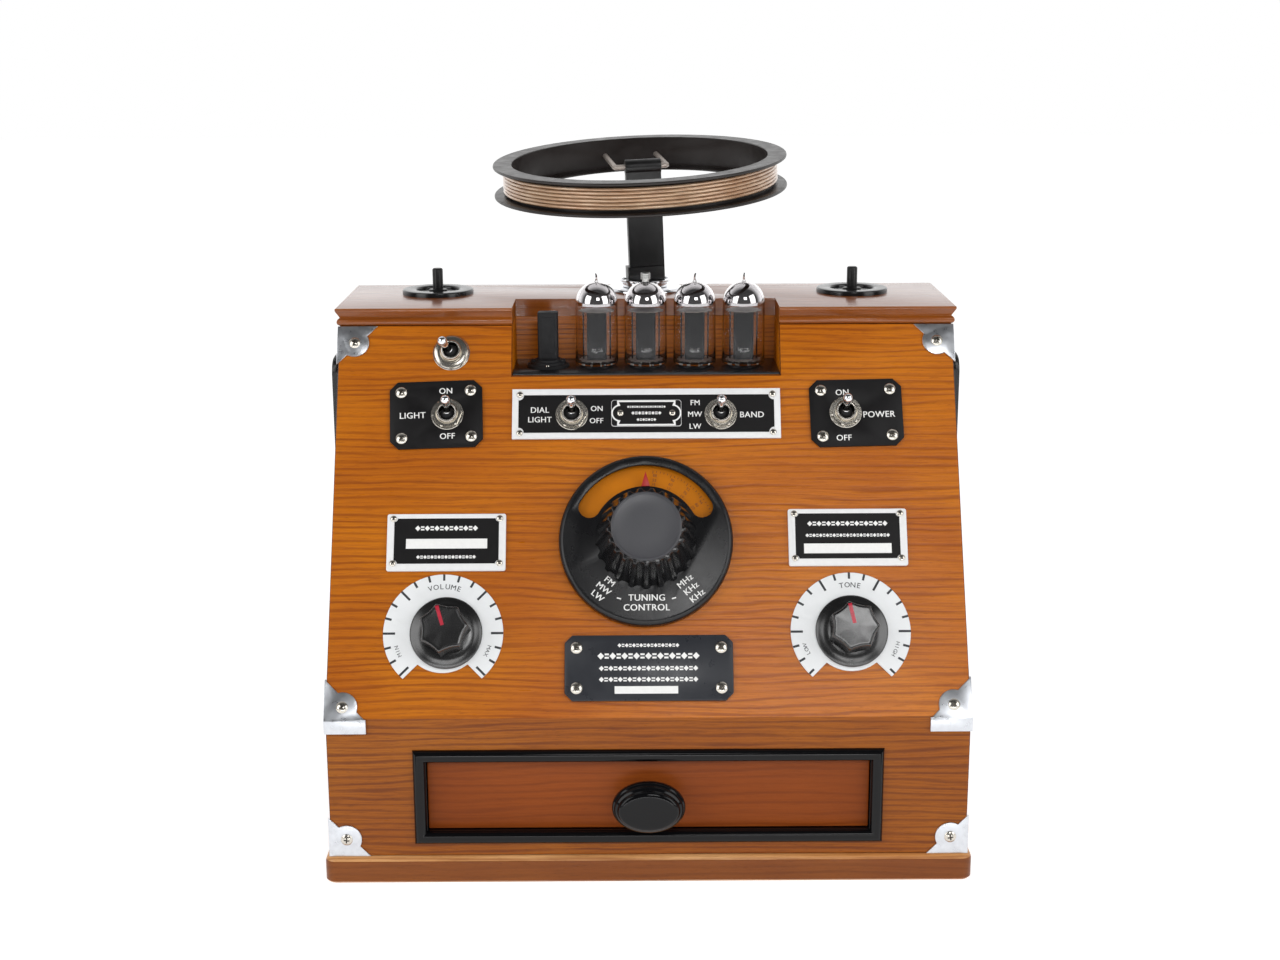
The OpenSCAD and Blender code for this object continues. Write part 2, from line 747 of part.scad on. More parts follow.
module drawer_frame() color("#101010")
  intersection() {
    difference() {
      union() {
        for (z = [drawer_z - frame_w / 2, drawer_top + frame_w / 2])
          translate([0, front_y, z]) rotate([0, 90, 0])
            cylinder(drawer_w + 2 * frame_w, r = frame_w / 2, center = true);
        both_sides() translate([(drawer_w + frame_w) / 2, front_y, drawer_z - frame_w])
          cylinder(drawer_h + 2 * frame_w, r = frame_w / 2);
      }
      translate([-drawer_w / 2, front_y - frame_w, drawer_z]) cube([drawer_w, 2 * frame_w, drawer_h]);
    }
    translate([-body_w / 2, front_y - body_d, 0]) cube([body_w, body_d, body_h]);
  }

module drawer_knob() color("#101010")
  translate([0, drawer_face_y, pull_z]) rotate([90, 0, 0]) {
    cylinder(pull_foot_h, r = pull_foot_r);
    cylinder(drawer_face_in + pull_out - pull_t, r = pull_neck_r);
    for (step = pull_steps) translate([0, 0, drawer_face_in + pull_out - pull_t + step[0]])
      linear_extrude(step[1]) oval(pull_w - step[2], pull_h - step[2]);
  }

module drawer_runners() color("#8c5a2c")
  both_sides() {
    runner_len = drawer_back_y - front_y - front_t;
    translate([drawer_w / 2 - runner_w, front_y + front_t, plinth_h])
      cube([runner_w + runner_wall, runner_len, drawer_z + slide_gap - run_gap - plinth_h]);
    translate([drawer_w / 2, front_y + front_t, plinth_h])
      cube([runner_wall, runner_len, drawer_z + drawer_h / 2 - plinth_h]);
  }

// Chromed guards. A flange is a triangle with a round lobe about its screw
module guard_outline(drop = 0) {
  polygon([
    [0, 0], [guard_leg, 0], [guard_leg - guard_tip, guard_tip],
    [guard_tip, guard_leg - guard_tip], [0, guard_leg]
  ]);
  translate([guard_screw, guard_screw - drop]) circle(guard_lobe_r);
}
module guard_flange() linear_extrude(guard_t) intersection() {
  guard_outline();
  square(2 * guard_leg);
}

module corner_guards() color("#d8d8d8")
  both_sides() {
    // Lower corner
    on_front(-body_w / 2, plinth_h) translate([-guard_t, 0, 0]) guard_flange();
    translate([-body_w / 2, front_y - guard_t, plinth_h]) rotate([90, 0, -90]) mirror([1, 0, 0])
      guard_flange();
    // Upper corner
    on_slope(-body_w / 2 - guard_t, slope_len - guard_t * tan(slope_angle), 0)
      mirror([0, 1, 0]) guard_flange();
    translate([-body_w / 2, 0, 0]) top_guard_side();
  }
module top_guard_side()
  translate([-guard_t, 0, 0]) intersection() {
    translate([0, front_y, crease_z]) rotate([90 - slope_angle, 0, 0])
      translate([0, slope_len - guard_t * tan(slope_angle), guard_t]) rotate([0, 90, 0])
        mirror([0, 1, 0]) scale([top_side_share, top_side_share, 1]) guard_flange();
    translate([-eps, -body_d, 0]) cube([guard_t + 2 * eps, 2 * body_d, body_h]);
  }

// A crease guard is a band bent over the crease, with a flange on the side
function slope_point(s, h) = [front_y + s * sin(slope_angle) - h * cos(slope_angle),
  crease_z + s * cos(slope_angle) + h * sin(slope_angle)];
crease_bend = slope_point(-crease_sink, guard_t);
slope_end = slope_point(guard_leg - crease_sink, 0);
slope_end_out = slope_point(guard_leg - crease_sink, guard_t);
module crease_guards() color("#d8d8d8")
  both_sides() {
    corner_x = -body_w / 2 - guard_t;
    intersection() {
      along_x(body_w + 2 * guard_t) polygon([
        [front_y, crease_z - guard_fold], [crease_bend[0], crease_z - guard_fold],
        crease_bend, slope_end_out, slope_end, [front_y, crease_z]
      ]);
      union() {
        on_slope(corner_x, -crease_sink, -guard_leg) linear_extrude(2 * guard_leg) {
          guard_outline(crease_drop);
          translate([0, -guard_t]) square([guard_leg, 2 * guard_t]);
        }
        translate([corner_x, front_y - guard_leg, crease_z - guard_leg - crease_sink / 2])
          cube([guard_leg, 2 * guard_leg, guard_leg]);
      }
    }
    translate([corner_x + guard_t / 2, 0, 0]) along_x(guard_t) polygon([
      [crease_bend[0], crease_z - guard_fold], crease_bend, slope_end_out, slope_end,
      [front_y + guard_side, crease_z], [front_y + guard_fold, crease_z - guard_fold]
    ]);
  }

// Plates and badges
module toggle_plate_place(side)
  on_slope((2 * side - 1) * plate_x, switch_s, 0) rotate(plate_turns[side]) children();

module toggle_plates() color("#141416")
  for (side = [0, 1]) toggle_plate_place(side) difference() {
    linear_extrude(plate_t) chamfered([plate_w, plate_h], plate_chamfer);
    translate([side == 0 ? light_toggle_x + plate_x : power_toggle_x - plate_x, 0, -eps])
      cylinder(plate_t + 2 * eps, r = bush_r + 2 * bush_gap);
  }

module switch_plate() color("#1a1a1c")
  on_slope(0, switch_s, 0) difference() {
    linear_extrude(plate_t) square([long_plate_w, long_plate_h], center = true);
    translate([0, 0, plate_t - plate_sink]) linear_extrude(plate_t)
      square([long_plate_w - 2 * long_rim, long_plate_h - 2 * long_rim], center = true);
    for (x = [-1, 1]) translate([x * long_switch_x, -long_drop, -eps])
      cylinder(plate_t + 2 * eps, r = bush_r + bush_gap);
  }

module badge_place(side, h = 0) on_slope(side * badge_x, badge_s + side * badge_lean, h) children();

module side_badges() color("#18181a") {
  for (side = [-1, 1]) badge_place(side) difference() {
    linear_extrude(plate_t) rounded([badge_w, badge_h], 1.2);
    translate([0, badge_rise, plate_t - plate_sink]) linear_extrude(plate_t)
      square(badge_field, center = true);
  }
  on_slope(0, switch_s, plate_t - plate_sink) linear_extrude(centre_badge_t) rounded(centre_badge, 1.5);
}

module lower_badge() color("#121214")
  on_slope(low_badge_x, low_badge_s, 0) linear_extrude(low_badge_t)
    chamfered([low_badge_w, low_badge_h], low_chamfer);

module screw(r = screw_d / 2, h = screw_h)
  rotate_extrude($fn = 24) intersection() {
    translate([0, h - r * screw_dome]) circle(r * screw_dome);
    square([r, h]);
  }
module small_screw() screw(small_screw_r, small_screw_h);

module screws() color("#cfcfcf") {
  for (side = [0, 1], a = [-1, 1], b = [-1, 1])
    toggle_plate_place(side) translate([a * plate_screw[0], b * plate_screw[1], plate_t]) screw();
  for (a = [-1, 1], b = [-1, 1]) {
    on_slope(a * long_screw[0], switch_s + b * long_screw[1], plate_t) small_screw();
    on_slope(low_badge_x + a * low_screw[0], low_badge_s + b * low_screw[1], low_badge_t) screw();
    for (side = [-1, 1]) badge_place(side, plate_t)
      translate([a * badge_screw[0], badge_rise + b * badge_screw[1], 0]) small_screw();
  }
  for (a = [-1, 1])
    on_slope(a * centre_screw, switch_s, plate_t - plate_sink + centre_badge_t) small_screw();
  both_sides() {
    screw_x = guard_screw - guard_t - body_w / 2;
    on_slope(screw_x, slope_len - guard_t * tan(slope_angle) - guard_screw, guard_t) screw();
    on_slope(screw_x, guard_screw - crease_sink - crease_drop, guard_t) screw();
    on_front(screw_x, plinth_h + guard_screw) translate([0, 0, guard_t]) screw();
    for (z = [plinth_h + back_screw_drop, body_h / 2, body_h - back_screw_drop])
      translate([inner_w / 2 - back_screw_in, back_y, z]) rotate([-90, 0, 0]) screw();
    translate([inner_w / 4, back_y, body_h - back_screw_drop]) rotate([-90, 0, 0]) screw();
  }
}

// A round scale plate, cut away below between its lowest marks but for a narrow ring
module control_plates() color("#e6e6e6")
  for (i = [0, 1]) difference() {
    on_slope((2 * i - 1) * control_x - plate_left, control_s, 0) difference() {
      cylinder(scale_plate_t, r = control_plate_r);
      translate([0, 0, -eps]) linear_extrude(scale_plate_t + 2 * eps) difference() {
        translate([0, -plate_notch * sqrt(2)]) rotate(225) square(2 * control_plate_r);
        circle(plate_ring_r);
      }
    }
    on_slope(CONTROLS[i], control_s, -eps) cylinder(scale_plate_t + 2 * eps, r = pot_bush_r + bush_gap);
  }

// A skirt under a seven-sided grip with hollow flanks
module control_knob(x, turn) color("#1b1b1d")
  on_slope(x, control_s, control_foot) rotate(turn) difference() {
    union() {
      cylinder(skirt_edge, r = control_knob_r);
      translate([0, 0, skirt_edge]) cylinder(skirt_h - skirt_edge, r1 = control_knob_r, r2 = grip_foot_r);
      difference() {
        cylinder(control_knob_h, r1 = grip_foot_r, r2 = grip_r);
        for (i = [0 : grip_sides - 1]) rotate(90 + (i + 0.5) * 360 / grip_sides)
          translate([grip_r + flank_r - flank_in, 0, skirt_h]) cylinder(control_knob_h, r = flank_r);
      }
    }
    translate([0, 0, -eps]) cylinder(spindle_up - control_foot + eps, r = spindle_r);
  }
module volume_knob() control_knob(volume_x, volume_turn);
module tone_knob() control_knob(control_x, tone_turn);

module control_spindle(x) color("#b9b9b9")
  on_slope(x, control_s, -front_t - pot_depth + pot_back)
    cylinder(front_t + pot_depth - pot_back + spindle_up, r = spindle_r);
module volume_spindle() control_spindle(volume_x);
module tone_spindle() control_spindle(control_x);

module potentiometers() color("#9a9a96")
  for (x = CONTROLS) on_slope(x, control_s, 0) difference() {
    union() {
      translate([0, 0, -front_t - pot_depth]) cylinder(pot_depth, r = pot_r);
      translate([0, 0, -front_t - eps]) cylinder(front_t + eps + scale_plate_t, r = pot_bush_r);
    }
    translate([0, 0, -front_t - pot_depth + pot_back - run_gap])
      cylinder(front_t + pot_depth + scale_plate_t, r = spindle_r + fit_gap);
  }

// Tuning dial
module arc_window(r, half, angle, h) {
  rotate(90 - angle) rotate_extrude(angle = 2 * angle, $fn = 96)
    translate([r - half, 0]) square([2 * half, h]);
  for (a = [-angle, angle]) rotate(a) translate([0, r, 0]) cylinder(h, r = half, $fn = 32);
}

module dial_rim() color("#131315")
  on_slope(dial_x, dial_s, 0) difference() {
    rotate_extrude($fn = 96) difference() {
      union() {
        square([dial_r - rim_round, dial_h]);
        square([dial_r, dial_h - rim_round]);
        translate([dial_r - rim_round, dial_h - rim_round]) circle(rim_round);
      }
      translate([0, -eps]) square([dial_r - rim_wall, dial_h - face_t + eps]);
    }
    translate([0, 0, dial_h - face_t - eps])
      arc_window(window_r, window_half, window_angle, face_t + 2 * eps);
    translate([0, 0, -eps]) cylinder(dial_h + 2 * eps, r = spindle_r + 1);
  }

module dial_scale() color("#e0a030")
  on_slope(dial_x, dial_s, scale_h) ring(dial_r - rim_wall - run_gap, spindle_r, scale_t);

module dial_cursor() color("#c81e1e")
  on_slope(dial_x, dial_s, dial_h - face_t) linear_extrude(face_t - cursor_sink)
    polygon([
      [-cursor_half, window_r - window_half + cursor_gap],
      [cursor_half, window_r - window_half + cursor_gap],
      [0, window_r + cursor_reach]
    ]);

module tuning_knob() color("#1d1d1f")
  on_slope(dial_x, dial_s, tuning_foot) difference() {
    cylinder(knob_h, r1 = knob_r, r2 = knob_top_r, $fn = 96);
    for (i = [0 : knob_flutes - 1]) rotate(90 + i * 360 / knob_flutes)
      translate([knob_r + flute_out, 0, 0])
        rotate([0, -atan(knob_taper / knob_h), 0])
          translate([0, 0, -eps]) cylinder(knob_h * 1.2, r = flute_r, $fn = 24);
    translate([0, 0, -eps]) cylinder(knob_h - knob_top_t + eps, r = spindle_r);
  }

module tuning_cap() color("#4a4a4c")
  on_slope(dial_x, dial_s, tuning_foot + knob_h) cylinder(cap_t, r = cap_r);

module tuning_spindle() color("#b9b9b9")
  on_slope(dial_x, dial_s, 0) {
    foot = cap_plate_t + run_gap - cap_back;
    translate([0, 0, foot]) cylinder(tuning_foot + knob_h - knob_top_t - foot, r = spindle_r);
    for (i = [0 : vane_count - 1]) translate([0, 0, -front_t - vane_start - i * vane_pitch])
      linear_extrude(vane_t) intersection() {
        circle(vane_r);
        translate([-vane_r, -spindle_r]) square([2 * vane_r, 2 * vane_r]);
      }
  }

module tuning_capacitor() color("#a8a8a4")
  on_slope(dial_x, dial_s, 0) difference() {
    union() {
      for (h = [-front_t - cap_plate_t / 2, cap_plate_t / 2 - cap_back]) translate([0, 0, h])
        cube([cap_box[0], cap_box[1], cap_plate_t], center = true);
      for (x = [-1, 1]) translate([x * (cap_box[0] - cap_plate_t) / 2, 0, -front_t - cap_box[2] / 2])
        cube([cap_plate_t, cap_box[1], cap_box[2]], center = true);
    }
    translate([0, 0, -front_t - cap_plate_t - eps])
      cylinder(cap_plate_t + 2 * eps, r = spindle_r + fit_gap);
  }

// Toggle switches
module toggle_switches() color("#c9c9c4")
  for (s = SWITCHES) on_slope(s[1], s[2], 0) rotate(s[3]) difference() {
    union() {
      translate([-switch_body[0] / 2, -switch_body[1] / 2, -front_t - switch_body[2]])
        cube(switch_body);
      translate([0, 0, -front_t - eps]) cylinder(front_t + eps + bush_up, r = bush_r);
    }
    translate([0, 0, pivot_h - bush_bore_r]) cylinder(bush_up + bush_bore_r, r = bush_bore_r);
  }

// Each switch is held by a nut on a washer. The nut's radius is to its corners
module toggle_nuts() color("#d2d2ce")
  for (s = SWITCHES) on_slope(s[1], s[2], s[5]) rotate(s[3]) {
    ring(s[4] + washer_out, bush_r, washer_t);
    if (s[0] == "spare") translate([0, 0, washer_t]) ring(s[4], bush_r, nut_t);
    else difference() {
      translate([0, 0, washer_t]) cylinder(nut_t, r = s[4], $fn = 6);
      translate([0, 0, -eps]) cylinder(nut_t + washer_t + 2 * eps, r = bush_r);
    }
  }

module lever(i) color("#dcdcdc")
  on_slope(SWITCHES[i][1], SWITCHES[i][2], pivot_h) rotate(SWITCHES[i][3]) rotate([-lever_tilt, 0, 0]) {
    sphere(pivot_r, $fn = 32);
    rotate([0, 90, 0]) cylinder(2 * pivot_half, r = pivot_pin_r, center = true, $fn = 24);
    cylinder(lever_len, r1 = lever_foot_r, r2 = lever_r);
    translate([0, 0, lever_len]) sphere(lever_tip_r, $fn = 32);
  }
module power_lever() lever(0);
module light_lever() lever(1);
module dial_light_lever() lever(2);
module band_lever() lever(3);
module spare_lever() lever(4);

// Terminals on the lid
module terminal_flanges() color("#141414")
  for (x = [-1, 1]) translate([x * terminal_x, terminal_y, lid_z]) difference() {
    rotate_extrude() {
      square([terminal_d / 2 - flange_round, flange_h]);
      square([terminal_d / 2, flange_h - flange_round]);
      translate([terminal_d / 2 - flange_round, flange_h - flange_round]) circle(flange_round);
    }
    translate([0, 0, flange_floor]) cylinder(flange_h, r = terminal_hole_r);
  }
module terminal_pegs() color("#141414")
  for (x = [-1, 1]) translate([x * terminal_x, terminal_y, lid_z + flange_floor]) {
    straight = peg_h - flange_floor - peg_chamfer;
    cylinder(straight, r = peg_r);
    translate([0, 0, straight]) cylinder(peg_chamfer, r1 = peg_r, r2 = peg_r - peg_chamfer);
    cylinder(peg_collar[1], r = peg_collar[0]);
  }

// Loop aerial. The mast turns on the base, and the loop tilts on its bail
module mast_frame(z = 0)
  translate([0, mast_y, collar_z]) rotate([0, -mast_lean, 0]) rotate([0, 0, mast_turn])
    translate([0, 0, z]) children();
module loop_frame()
  mast_frame(hinge_z - collar_z) rotate([loop_tilt, 0, 0]) children();
module loop_place()
  loop_frame() translate([loop_shift, -loop_reach, loop_rise]) rotate([0, -loop_roll, 0]) children();

module aerial_base() color("#cfcfcf")
  translate([0, mast_y, lid_z]) difference() {
    rotate_extrude() {
      square([base_r - base_t / 2, base_t]);
      square([base_r, base_t / 2]);
      translate([base_r - base_t / 2, base_t / 2]) circle(base_t / 2);
    }
    translate([0, 0, -eps]) cylinder(base_t + 2 * eps, r = pin_r + fit_gap);
  }

module aerial_turntable() color("#c4c4c4") {
  translate([0, mast_y, table_z]) {
    cylinder(table_t, r = table_r - table_groove);
    translate([0, 0, table_t - table_lip]) cylinder(table_lip, r = table_r);
  }
  translate([0, mast_y, body_h - pin_foot_h]) cylinder(table_z - body_h + pin_foot_h + eps, r = pin_r);
  translate([0, mast_y, body_h - run_gap - pin_foot_h]) cylinder(pin_foot_h, r = pin_foot_r);
}

module aerial_mast() color("#101010") {
  difference() {
    union() {
      mast_frame() translate([-collar_w / 2, -collar_t / 2, 0]) cube([collar_w, collar_t, collar_h]);
      mast_frame() translate([mast_shift - mast_w / 2, -mast_t / 2, 0])
        cube([mast_w, mast_t, hinge_z - collar_z]);
      mast_frame(hinge_z - collar_z) translate([mast_shift, 0, 0]) rotate([0, 90, 0])
        cylinder(collar_w, r = knuckle_r, center = true);
    }
    mast_frame(hinge_z - collar_z) translate([mast_shift, 0, 0]) rotate([0, 90, 0])
      cylinder(collar_w + 2 * eps, r = bail_d / 2 + fit_gap, center = true);
    // Stand flat on the turntable
    translate([-body_w / 2, 0, collar_z - body_h]) cube([body_w, body_d, body_h]);
  }
}

function prong_x(side) = bail_slip + side * bail_half;
function prong_len(side) =
  sqrt(pow(hub_r, 2) - pow(prong_x(side) - loop_shift, 2)) - loop_reach - prong_in;
module loop_bail() color("#c8c8c8")
  loop_frame() translate([bail_slip, 0, 0]) {
    bend_r = bail_bend * bail_d;
    rotate([0, 90, 0]) cylinder(2 * (bail_half - bend_r), r = bail_d / 2, center = true);
    for (x = [-1, 1]) {
      translate([x * (bail_half - bend_r), bend_r, 0]) rotate(x < 0 ? 180 : 270)
        rotate_extrude(angle = 90) translate([bend_r, 0]) circle(bail_d / 2);
      translate([x * bail_half, bend_r, 0]) rotate([-90, 0, 0])
        cylinder(prong_len(x) - bend_r, r = bail_d / 2);
    }
  }

module loop_former() color("#1c1a19") {
  difference() {
    loop_place() difference() {
      union() {
        translate([0, 0, -loop_h / 2]) cylinder(loop_h, r = hub_r, $fn = 96);
        for (z = [-loop_h / 2, loop_h / 2 - flange_t]) translate([0, 0, z])
          cylinder(flange_t, r = loop_r, $fn = 96);
      }
      translate([0, 0, -loop_h]) cylinder(2 * loop_h, r = loop_hole_r, $fn = 96);
    }
    for (x = [-1, 1]) loop_frame() translate([prong_x(x), 0, 0]) rotate([-90, 0, 0])
      cylinder(prong_len(x), r = bail_d / 2);
  }
  for (end = [0, 1]) loop_place() wire_anchor(end);
}

// The blocks that hold the two ends of the wire
module wire_anchor(end)
  translate([0, 0, wind_low + end * wire_turns * wire_pitch])
    translate([end > 0 ? -anchor_len - wire_d : wire_d, hub_r - anchor_sink, -wire_d / 2])
      cube([anchor_len, wind_r + wire_r - hub_r + anchor_sink, wire_d]);

// Points of the winding: a straight lead, the climbing turns and a straight lead
function turn_angle(i) = 90 + 360 * i / loop_steps;
function wire_path() = concat(
  [[wire_d, wind_r, wind_low]],
  [for (i = [0 : wire_turns * loop_steps])
    [wind_r * cos(turn_angle(i)), wind_r * sin(turn_angle(i)), wind_low + wire_pitch * i / loop_steps]],
  [[-wire_d, wind_r, wind_low + wire_turns * wire_pitch]]);
function unit(v) = v / norm(v);
function heading(p, i) = unit(p[min(i + 1, len(p) - 1)] - p[max(i - 1, 0)]);
function tube_ring(p, i) =
  let (t = heading(p, i), up = [0, 0, 1], side = unit(cross(t, up)), top = cross(side, t))
  [for (k = [0 : tube_sides - 1])
    p[i] + wire_r * (cos(360 * k / tube_sides) * side + sin(360 * k / tube_sides) * top)];
function tube_faces(rings, n) = concat(
  [for (i = [0 : rings - 2], k = [0 : n - 1])
    let (a = i * n + k, b = i * n + (k + 1) % n) each [[a, b, a + n], [b, b + n, a + n]]],
  [for (k = [1 : n - 2]) [0, k + 1, k]],
  [for (k = [1 : n - 2]) let (e = (rings - 1) * n) [e, e + k, e + k + 1]]);

module loop_winding() color("#b98a62")
  loop_place() {
    path = wire_path();
    polyhedron([for (i = [0 : len(path) - 1]) each tube_ring(path, i)],
      tube_faces(len(path), tube_sides));
  }
wire_points = wire_path();
echo(least_gap_between_turns = min([for (i = [0 : 3 : len(wire_points) - 1],
  j = [i + loop_steps / 2 : 1 : len(wire_points) - 1]) norm(wire_points[i] - wire_points[j])]) - wire_d);

// Side grilles and speakers
module grille_outline(inset, r = grille_r) rounded([grille_w - 2 * inset, grille_h - 2 * inset], r);

module speaker_grilles() color("#161616")
  both_sides() translate([body_w / 2, grille_mid_y, speaker_z]) rotate([90, 0, 90]) difference() {
    union() {
      linear_extrude(grille_out - 2 * grille_step) grille_outline(0);
      translate([0, 0, grille_out - 2 * grille_step]) linear_extrude(grille_step) grille_outline(0.5);
      translate([0, 0, grille_out - grille_step]) linear_extrude(grille_step) grille_outline(2);
    }
    translate([0, 0, -eps]) linear_extrude(grille_out - grille_skin + eps)
      grille_outline(grille_wall, grille_r - 4);
    for (i = [0 : slots - 1]) translate([0, (i - (slots - 1) / 2) * slot_pitch, grille_out / 2])
      cube([grille_w - 2 * slot_edge, slot_h, 2 * grille_out], center = true);
  }

module speakers() color("#2a2a2c")
  both_sides() translate([body_w / 2 - side_t, grille_mid_y, speaker_z]) rotate([0, -90, 0]) {
    difference() {
      union() {
        cylinder(speaker_flange_t, r = speaker_flange_r);
        cylinder(cone_depth, r1 = speaker_r, r2 = cone_back_r);
        translate([0, 0, cone_depth]) cylinder(magnet_t, r = magnet_r);
      }
      translate([0, 0, -0.01])
        cylinder(cone_depth - cone_t, r1 = speaker_r - cone_t, r2 = cone_back_r - cone_t);
    }
  }

// Parts inside the cabinet
module circuit_board() color("#2c6b3a")
  translate([0, inner_back_y, board_z]) rotate([90, 0, 0]) {
    for (x = [-1, 1], z = [-1, 1])
      translate([x * (board[0] / 2 - spacer_in), z * (board[1] / 2 - spacer_in), 0])
        cylinder(spacer_h, r = spacer_r);
    translate([-board[0] / 2, -board[1] / 2, spacer_h]) cube([board[0], board[1], board_t]);
    for (i = [-2 : 2]) translate([i * can_pitch, (i % 2) * can_up, spacer_h + board_t])
      cylinder(can_up, r = can_r);
  }

module transformer() color("#4a4a4a")
  translate([transformer_x, drawer_back_y + transformer_gap, plinth_h]) {
    cube(core);
    translate([-foot_out, core[1] / 4, 0]) cube([core[0] + 2 * foot_out, core[1] / 2, foot_t]);
    translate([coil_in[0], -coil_out, coil_in[1]])
      cube([core[0] - 2 * coil_in[0], core[1] + 2 * coil_out, core[2] - 2 * coil_in[1]]);
  }

module power_inlet() color("#141414")
  translate([0, back_y, inlet_z]) rotate([90, 0, 0]) difference() {
    union() {
      translate([0, 0, -inlet_flange[2]]) linear_extrude(inlet_flange[2])
        rounded([inlet_w + 2 * inlet_flange[0], inlet_h + 2 * inlet_flange[1]], 2);
      linear_extrude(inlet_depth) square([inlet_w, inlet_h], center = true);
    }
    translate([0, 0, -inlet_flange[2] - eps]) linear_extrude(inlet_depth + eps)
      square([inlet_w - 2 * inlet_wall, inlet_h - 2 * inlet_wall], center = true);
  }

left_side();
right_side();
sloped_panel();
lower_panel();
top_lid();
plinth();
back_panel();
valve_recess();
valve_shelf();
valve_1();
valve_2();
valve_3();
valve_4();
valve_electrodes();
crystal_can();
drawer_front();
drawer_box();
drawer_frame();
drawer_knob();
drawer_runners();
corner_guards();
crease_guards();
toggle_plates();
switch_plate();
screws();
side_badges();
lower_badge();
control_plates();
volume_knob();
volume_spindle();
tone_knob();
tone_spindle();
potentiometers();
dial_rim();
dial_scale();
dial_cursor();
tuning_knob();
tuning_cap();
tuning_spindle();
tuning_capacitor();
toggle_switches();
toggle_nuts();
power_lever();
light_lever();
dial_light_lever();
band_lever();
spare_lever();
terminal_flanges();
terminal_pegs();
aerial_base();
aerial_turntable();
aerial_mast();
loop_bail();
loop_former();
loop_winding();
speaker_grilles();
speakers();
circuit_board();
transformer();
power_inlet();
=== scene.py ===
"""Looks of the table radio receiver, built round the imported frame. Lengths here are in millimetres."""
import itertools
import math

import bmesh
import bpy
from mathutils import Matrix, Vector


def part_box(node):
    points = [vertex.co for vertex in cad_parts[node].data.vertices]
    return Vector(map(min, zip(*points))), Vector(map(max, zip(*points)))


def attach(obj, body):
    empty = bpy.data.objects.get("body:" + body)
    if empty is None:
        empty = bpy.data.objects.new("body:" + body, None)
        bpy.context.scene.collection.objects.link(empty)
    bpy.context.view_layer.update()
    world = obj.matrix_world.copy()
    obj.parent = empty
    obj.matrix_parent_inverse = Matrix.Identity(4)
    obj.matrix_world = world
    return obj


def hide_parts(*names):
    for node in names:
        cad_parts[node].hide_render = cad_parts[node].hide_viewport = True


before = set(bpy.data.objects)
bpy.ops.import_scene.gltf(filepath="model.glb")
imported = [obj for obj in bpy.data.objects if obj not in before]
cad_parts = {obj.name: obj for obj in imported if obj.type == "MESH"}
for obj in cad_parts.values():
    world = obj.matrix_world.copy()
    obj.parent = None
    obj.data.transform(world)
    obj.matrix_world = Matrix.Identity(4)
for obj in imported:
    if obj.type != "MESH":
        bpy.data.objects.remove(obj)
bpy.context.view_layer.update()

MM = 0.001
# Sizes of the cabinet that the pieces below are placed by
BODY_W = 335
SLOPE_ANGLE = 28.6
FRONT_Y, BACK_Y = -95.5, 95.5
CREASE_Z = 91.0
LID_Z = 289.7
BODY_TOP = 280.0
AT_ORIGIN = Matrix()


def shift(x=0.0, y=0.0, z=0.0):
    return Matrix.Translation((x, y, z))


def turn(degrees, axis="Z"):
    return Matrix.Rotation(math.radians(degrees), 4, axis)


SLOPE = shift(0, FRONT_Y, CREASE_Z) @ turn(90 - SLOPE_ANGLE, "X")


def on_slope(x=0.0, s=0.0, h=0.0, degrees=0.0):
    """The place x from the middle, s up the sloped front and h out from it, turned by the degrees."""
    return SLOPE @ shift(x, s, h) @ turn(degrees)


def new_object(name, data):
    thing = bpy.data.objects.new(name, data)
    bpy.context.scene.collection.objects.link(thing)
    return thing


# Camera: its place in mm, and in degrees how far it looks to the right, looks down and leans
CAMERA_AT = (-6.845, -1011.34, 445.67)
CAMERA_YAW, CAMERA_PITCH, CAMERA_ROLL = 0.189, 13.961, -0.221
CAMERA_LENS = 52.865


def add_camera():
    data = bpy.data.cameras.new("camera")
    data.lens = CAMERA_LENS
    data.sensor_width = 36
    data.clip_end = 50
    camera = new_object("camera", data)
    camera.matrix_world = (Matrix.Translation(Vector(CAMERA_AT) * MM) @ turn(-CAMERA_YAW)
                           @ turn(90 - CAMERA_PITCH, "X") @ turn(CAMERA_ROLL))
    bpy.context.scene.camera = camera


add_camera()


# Materials
def rgb(red, green, blue):
    """A colour as a screen shows it, 0 to 255, as a linear colour."""
    def linear(value):
        value /= 255
        return value / 12.92 if value <= 0.04045 else ((value + 0.055) / 1.055) ** 2.4
    return (linear(red), linear(green), linear(blue), 1.0)


def set_inputs(tree, node, inputs):
    """Gives a node its inputs. A socket is linked, any other value is set."""
    for key, value in inputs.items():
        if isinstance(value, bpy.types.NodeSocket):
            tree.links.new(value, node.inputs[key])
        else:
            node.inputs[key].default_value = value


def add(tree, kind, inputs=None, **settings):
    node = tree.nodes.new(kind)
    for key, value in settings.items():
        setattr(node, key, value)
    set_inputs(tree, node, inputs or {})
    return node


def new_material(name):
    """A material with its tree and its Principled shader."""
    material = bpy.data.materials.new(name)
    material.use_nodes = True
    return material, material.node_tree, material.node_tree.nodes["Principled BSDF"]


def feed(tree, shader, **inputs):
    """Sets a shader's inputs. The keywords name them, with _ for a blank."""
    set_inputs(tree, shader, {key.replace("_", " "): value for key, value in inputs.items()})


def place_coords(tree, scale=(1, 1, 1), location=(0, 0, 0)):
    coords = add(tree, "ShaderNodeTexCoord").outputs["Object"]
    inputs = {"Vector": coords, "Scale": scale, "Location": location}
    return add(tree, "ShaderNodeMapping", inputs).outputs["Vector"]


def height_in(tree):
    return add(tree, "ShaderNodeSeparateXYZ", {0: place_coords(tree)}).outputs["Z"]


def noise(tree, vector, detail=2.0, rough=0.5):
    return add(tree, "ShaderNodeTexNoise", {
        "Vector": vector, "Scale": 1.0, "Detail": detail, "Roughness": rough,
    }).outputs["Fac"]


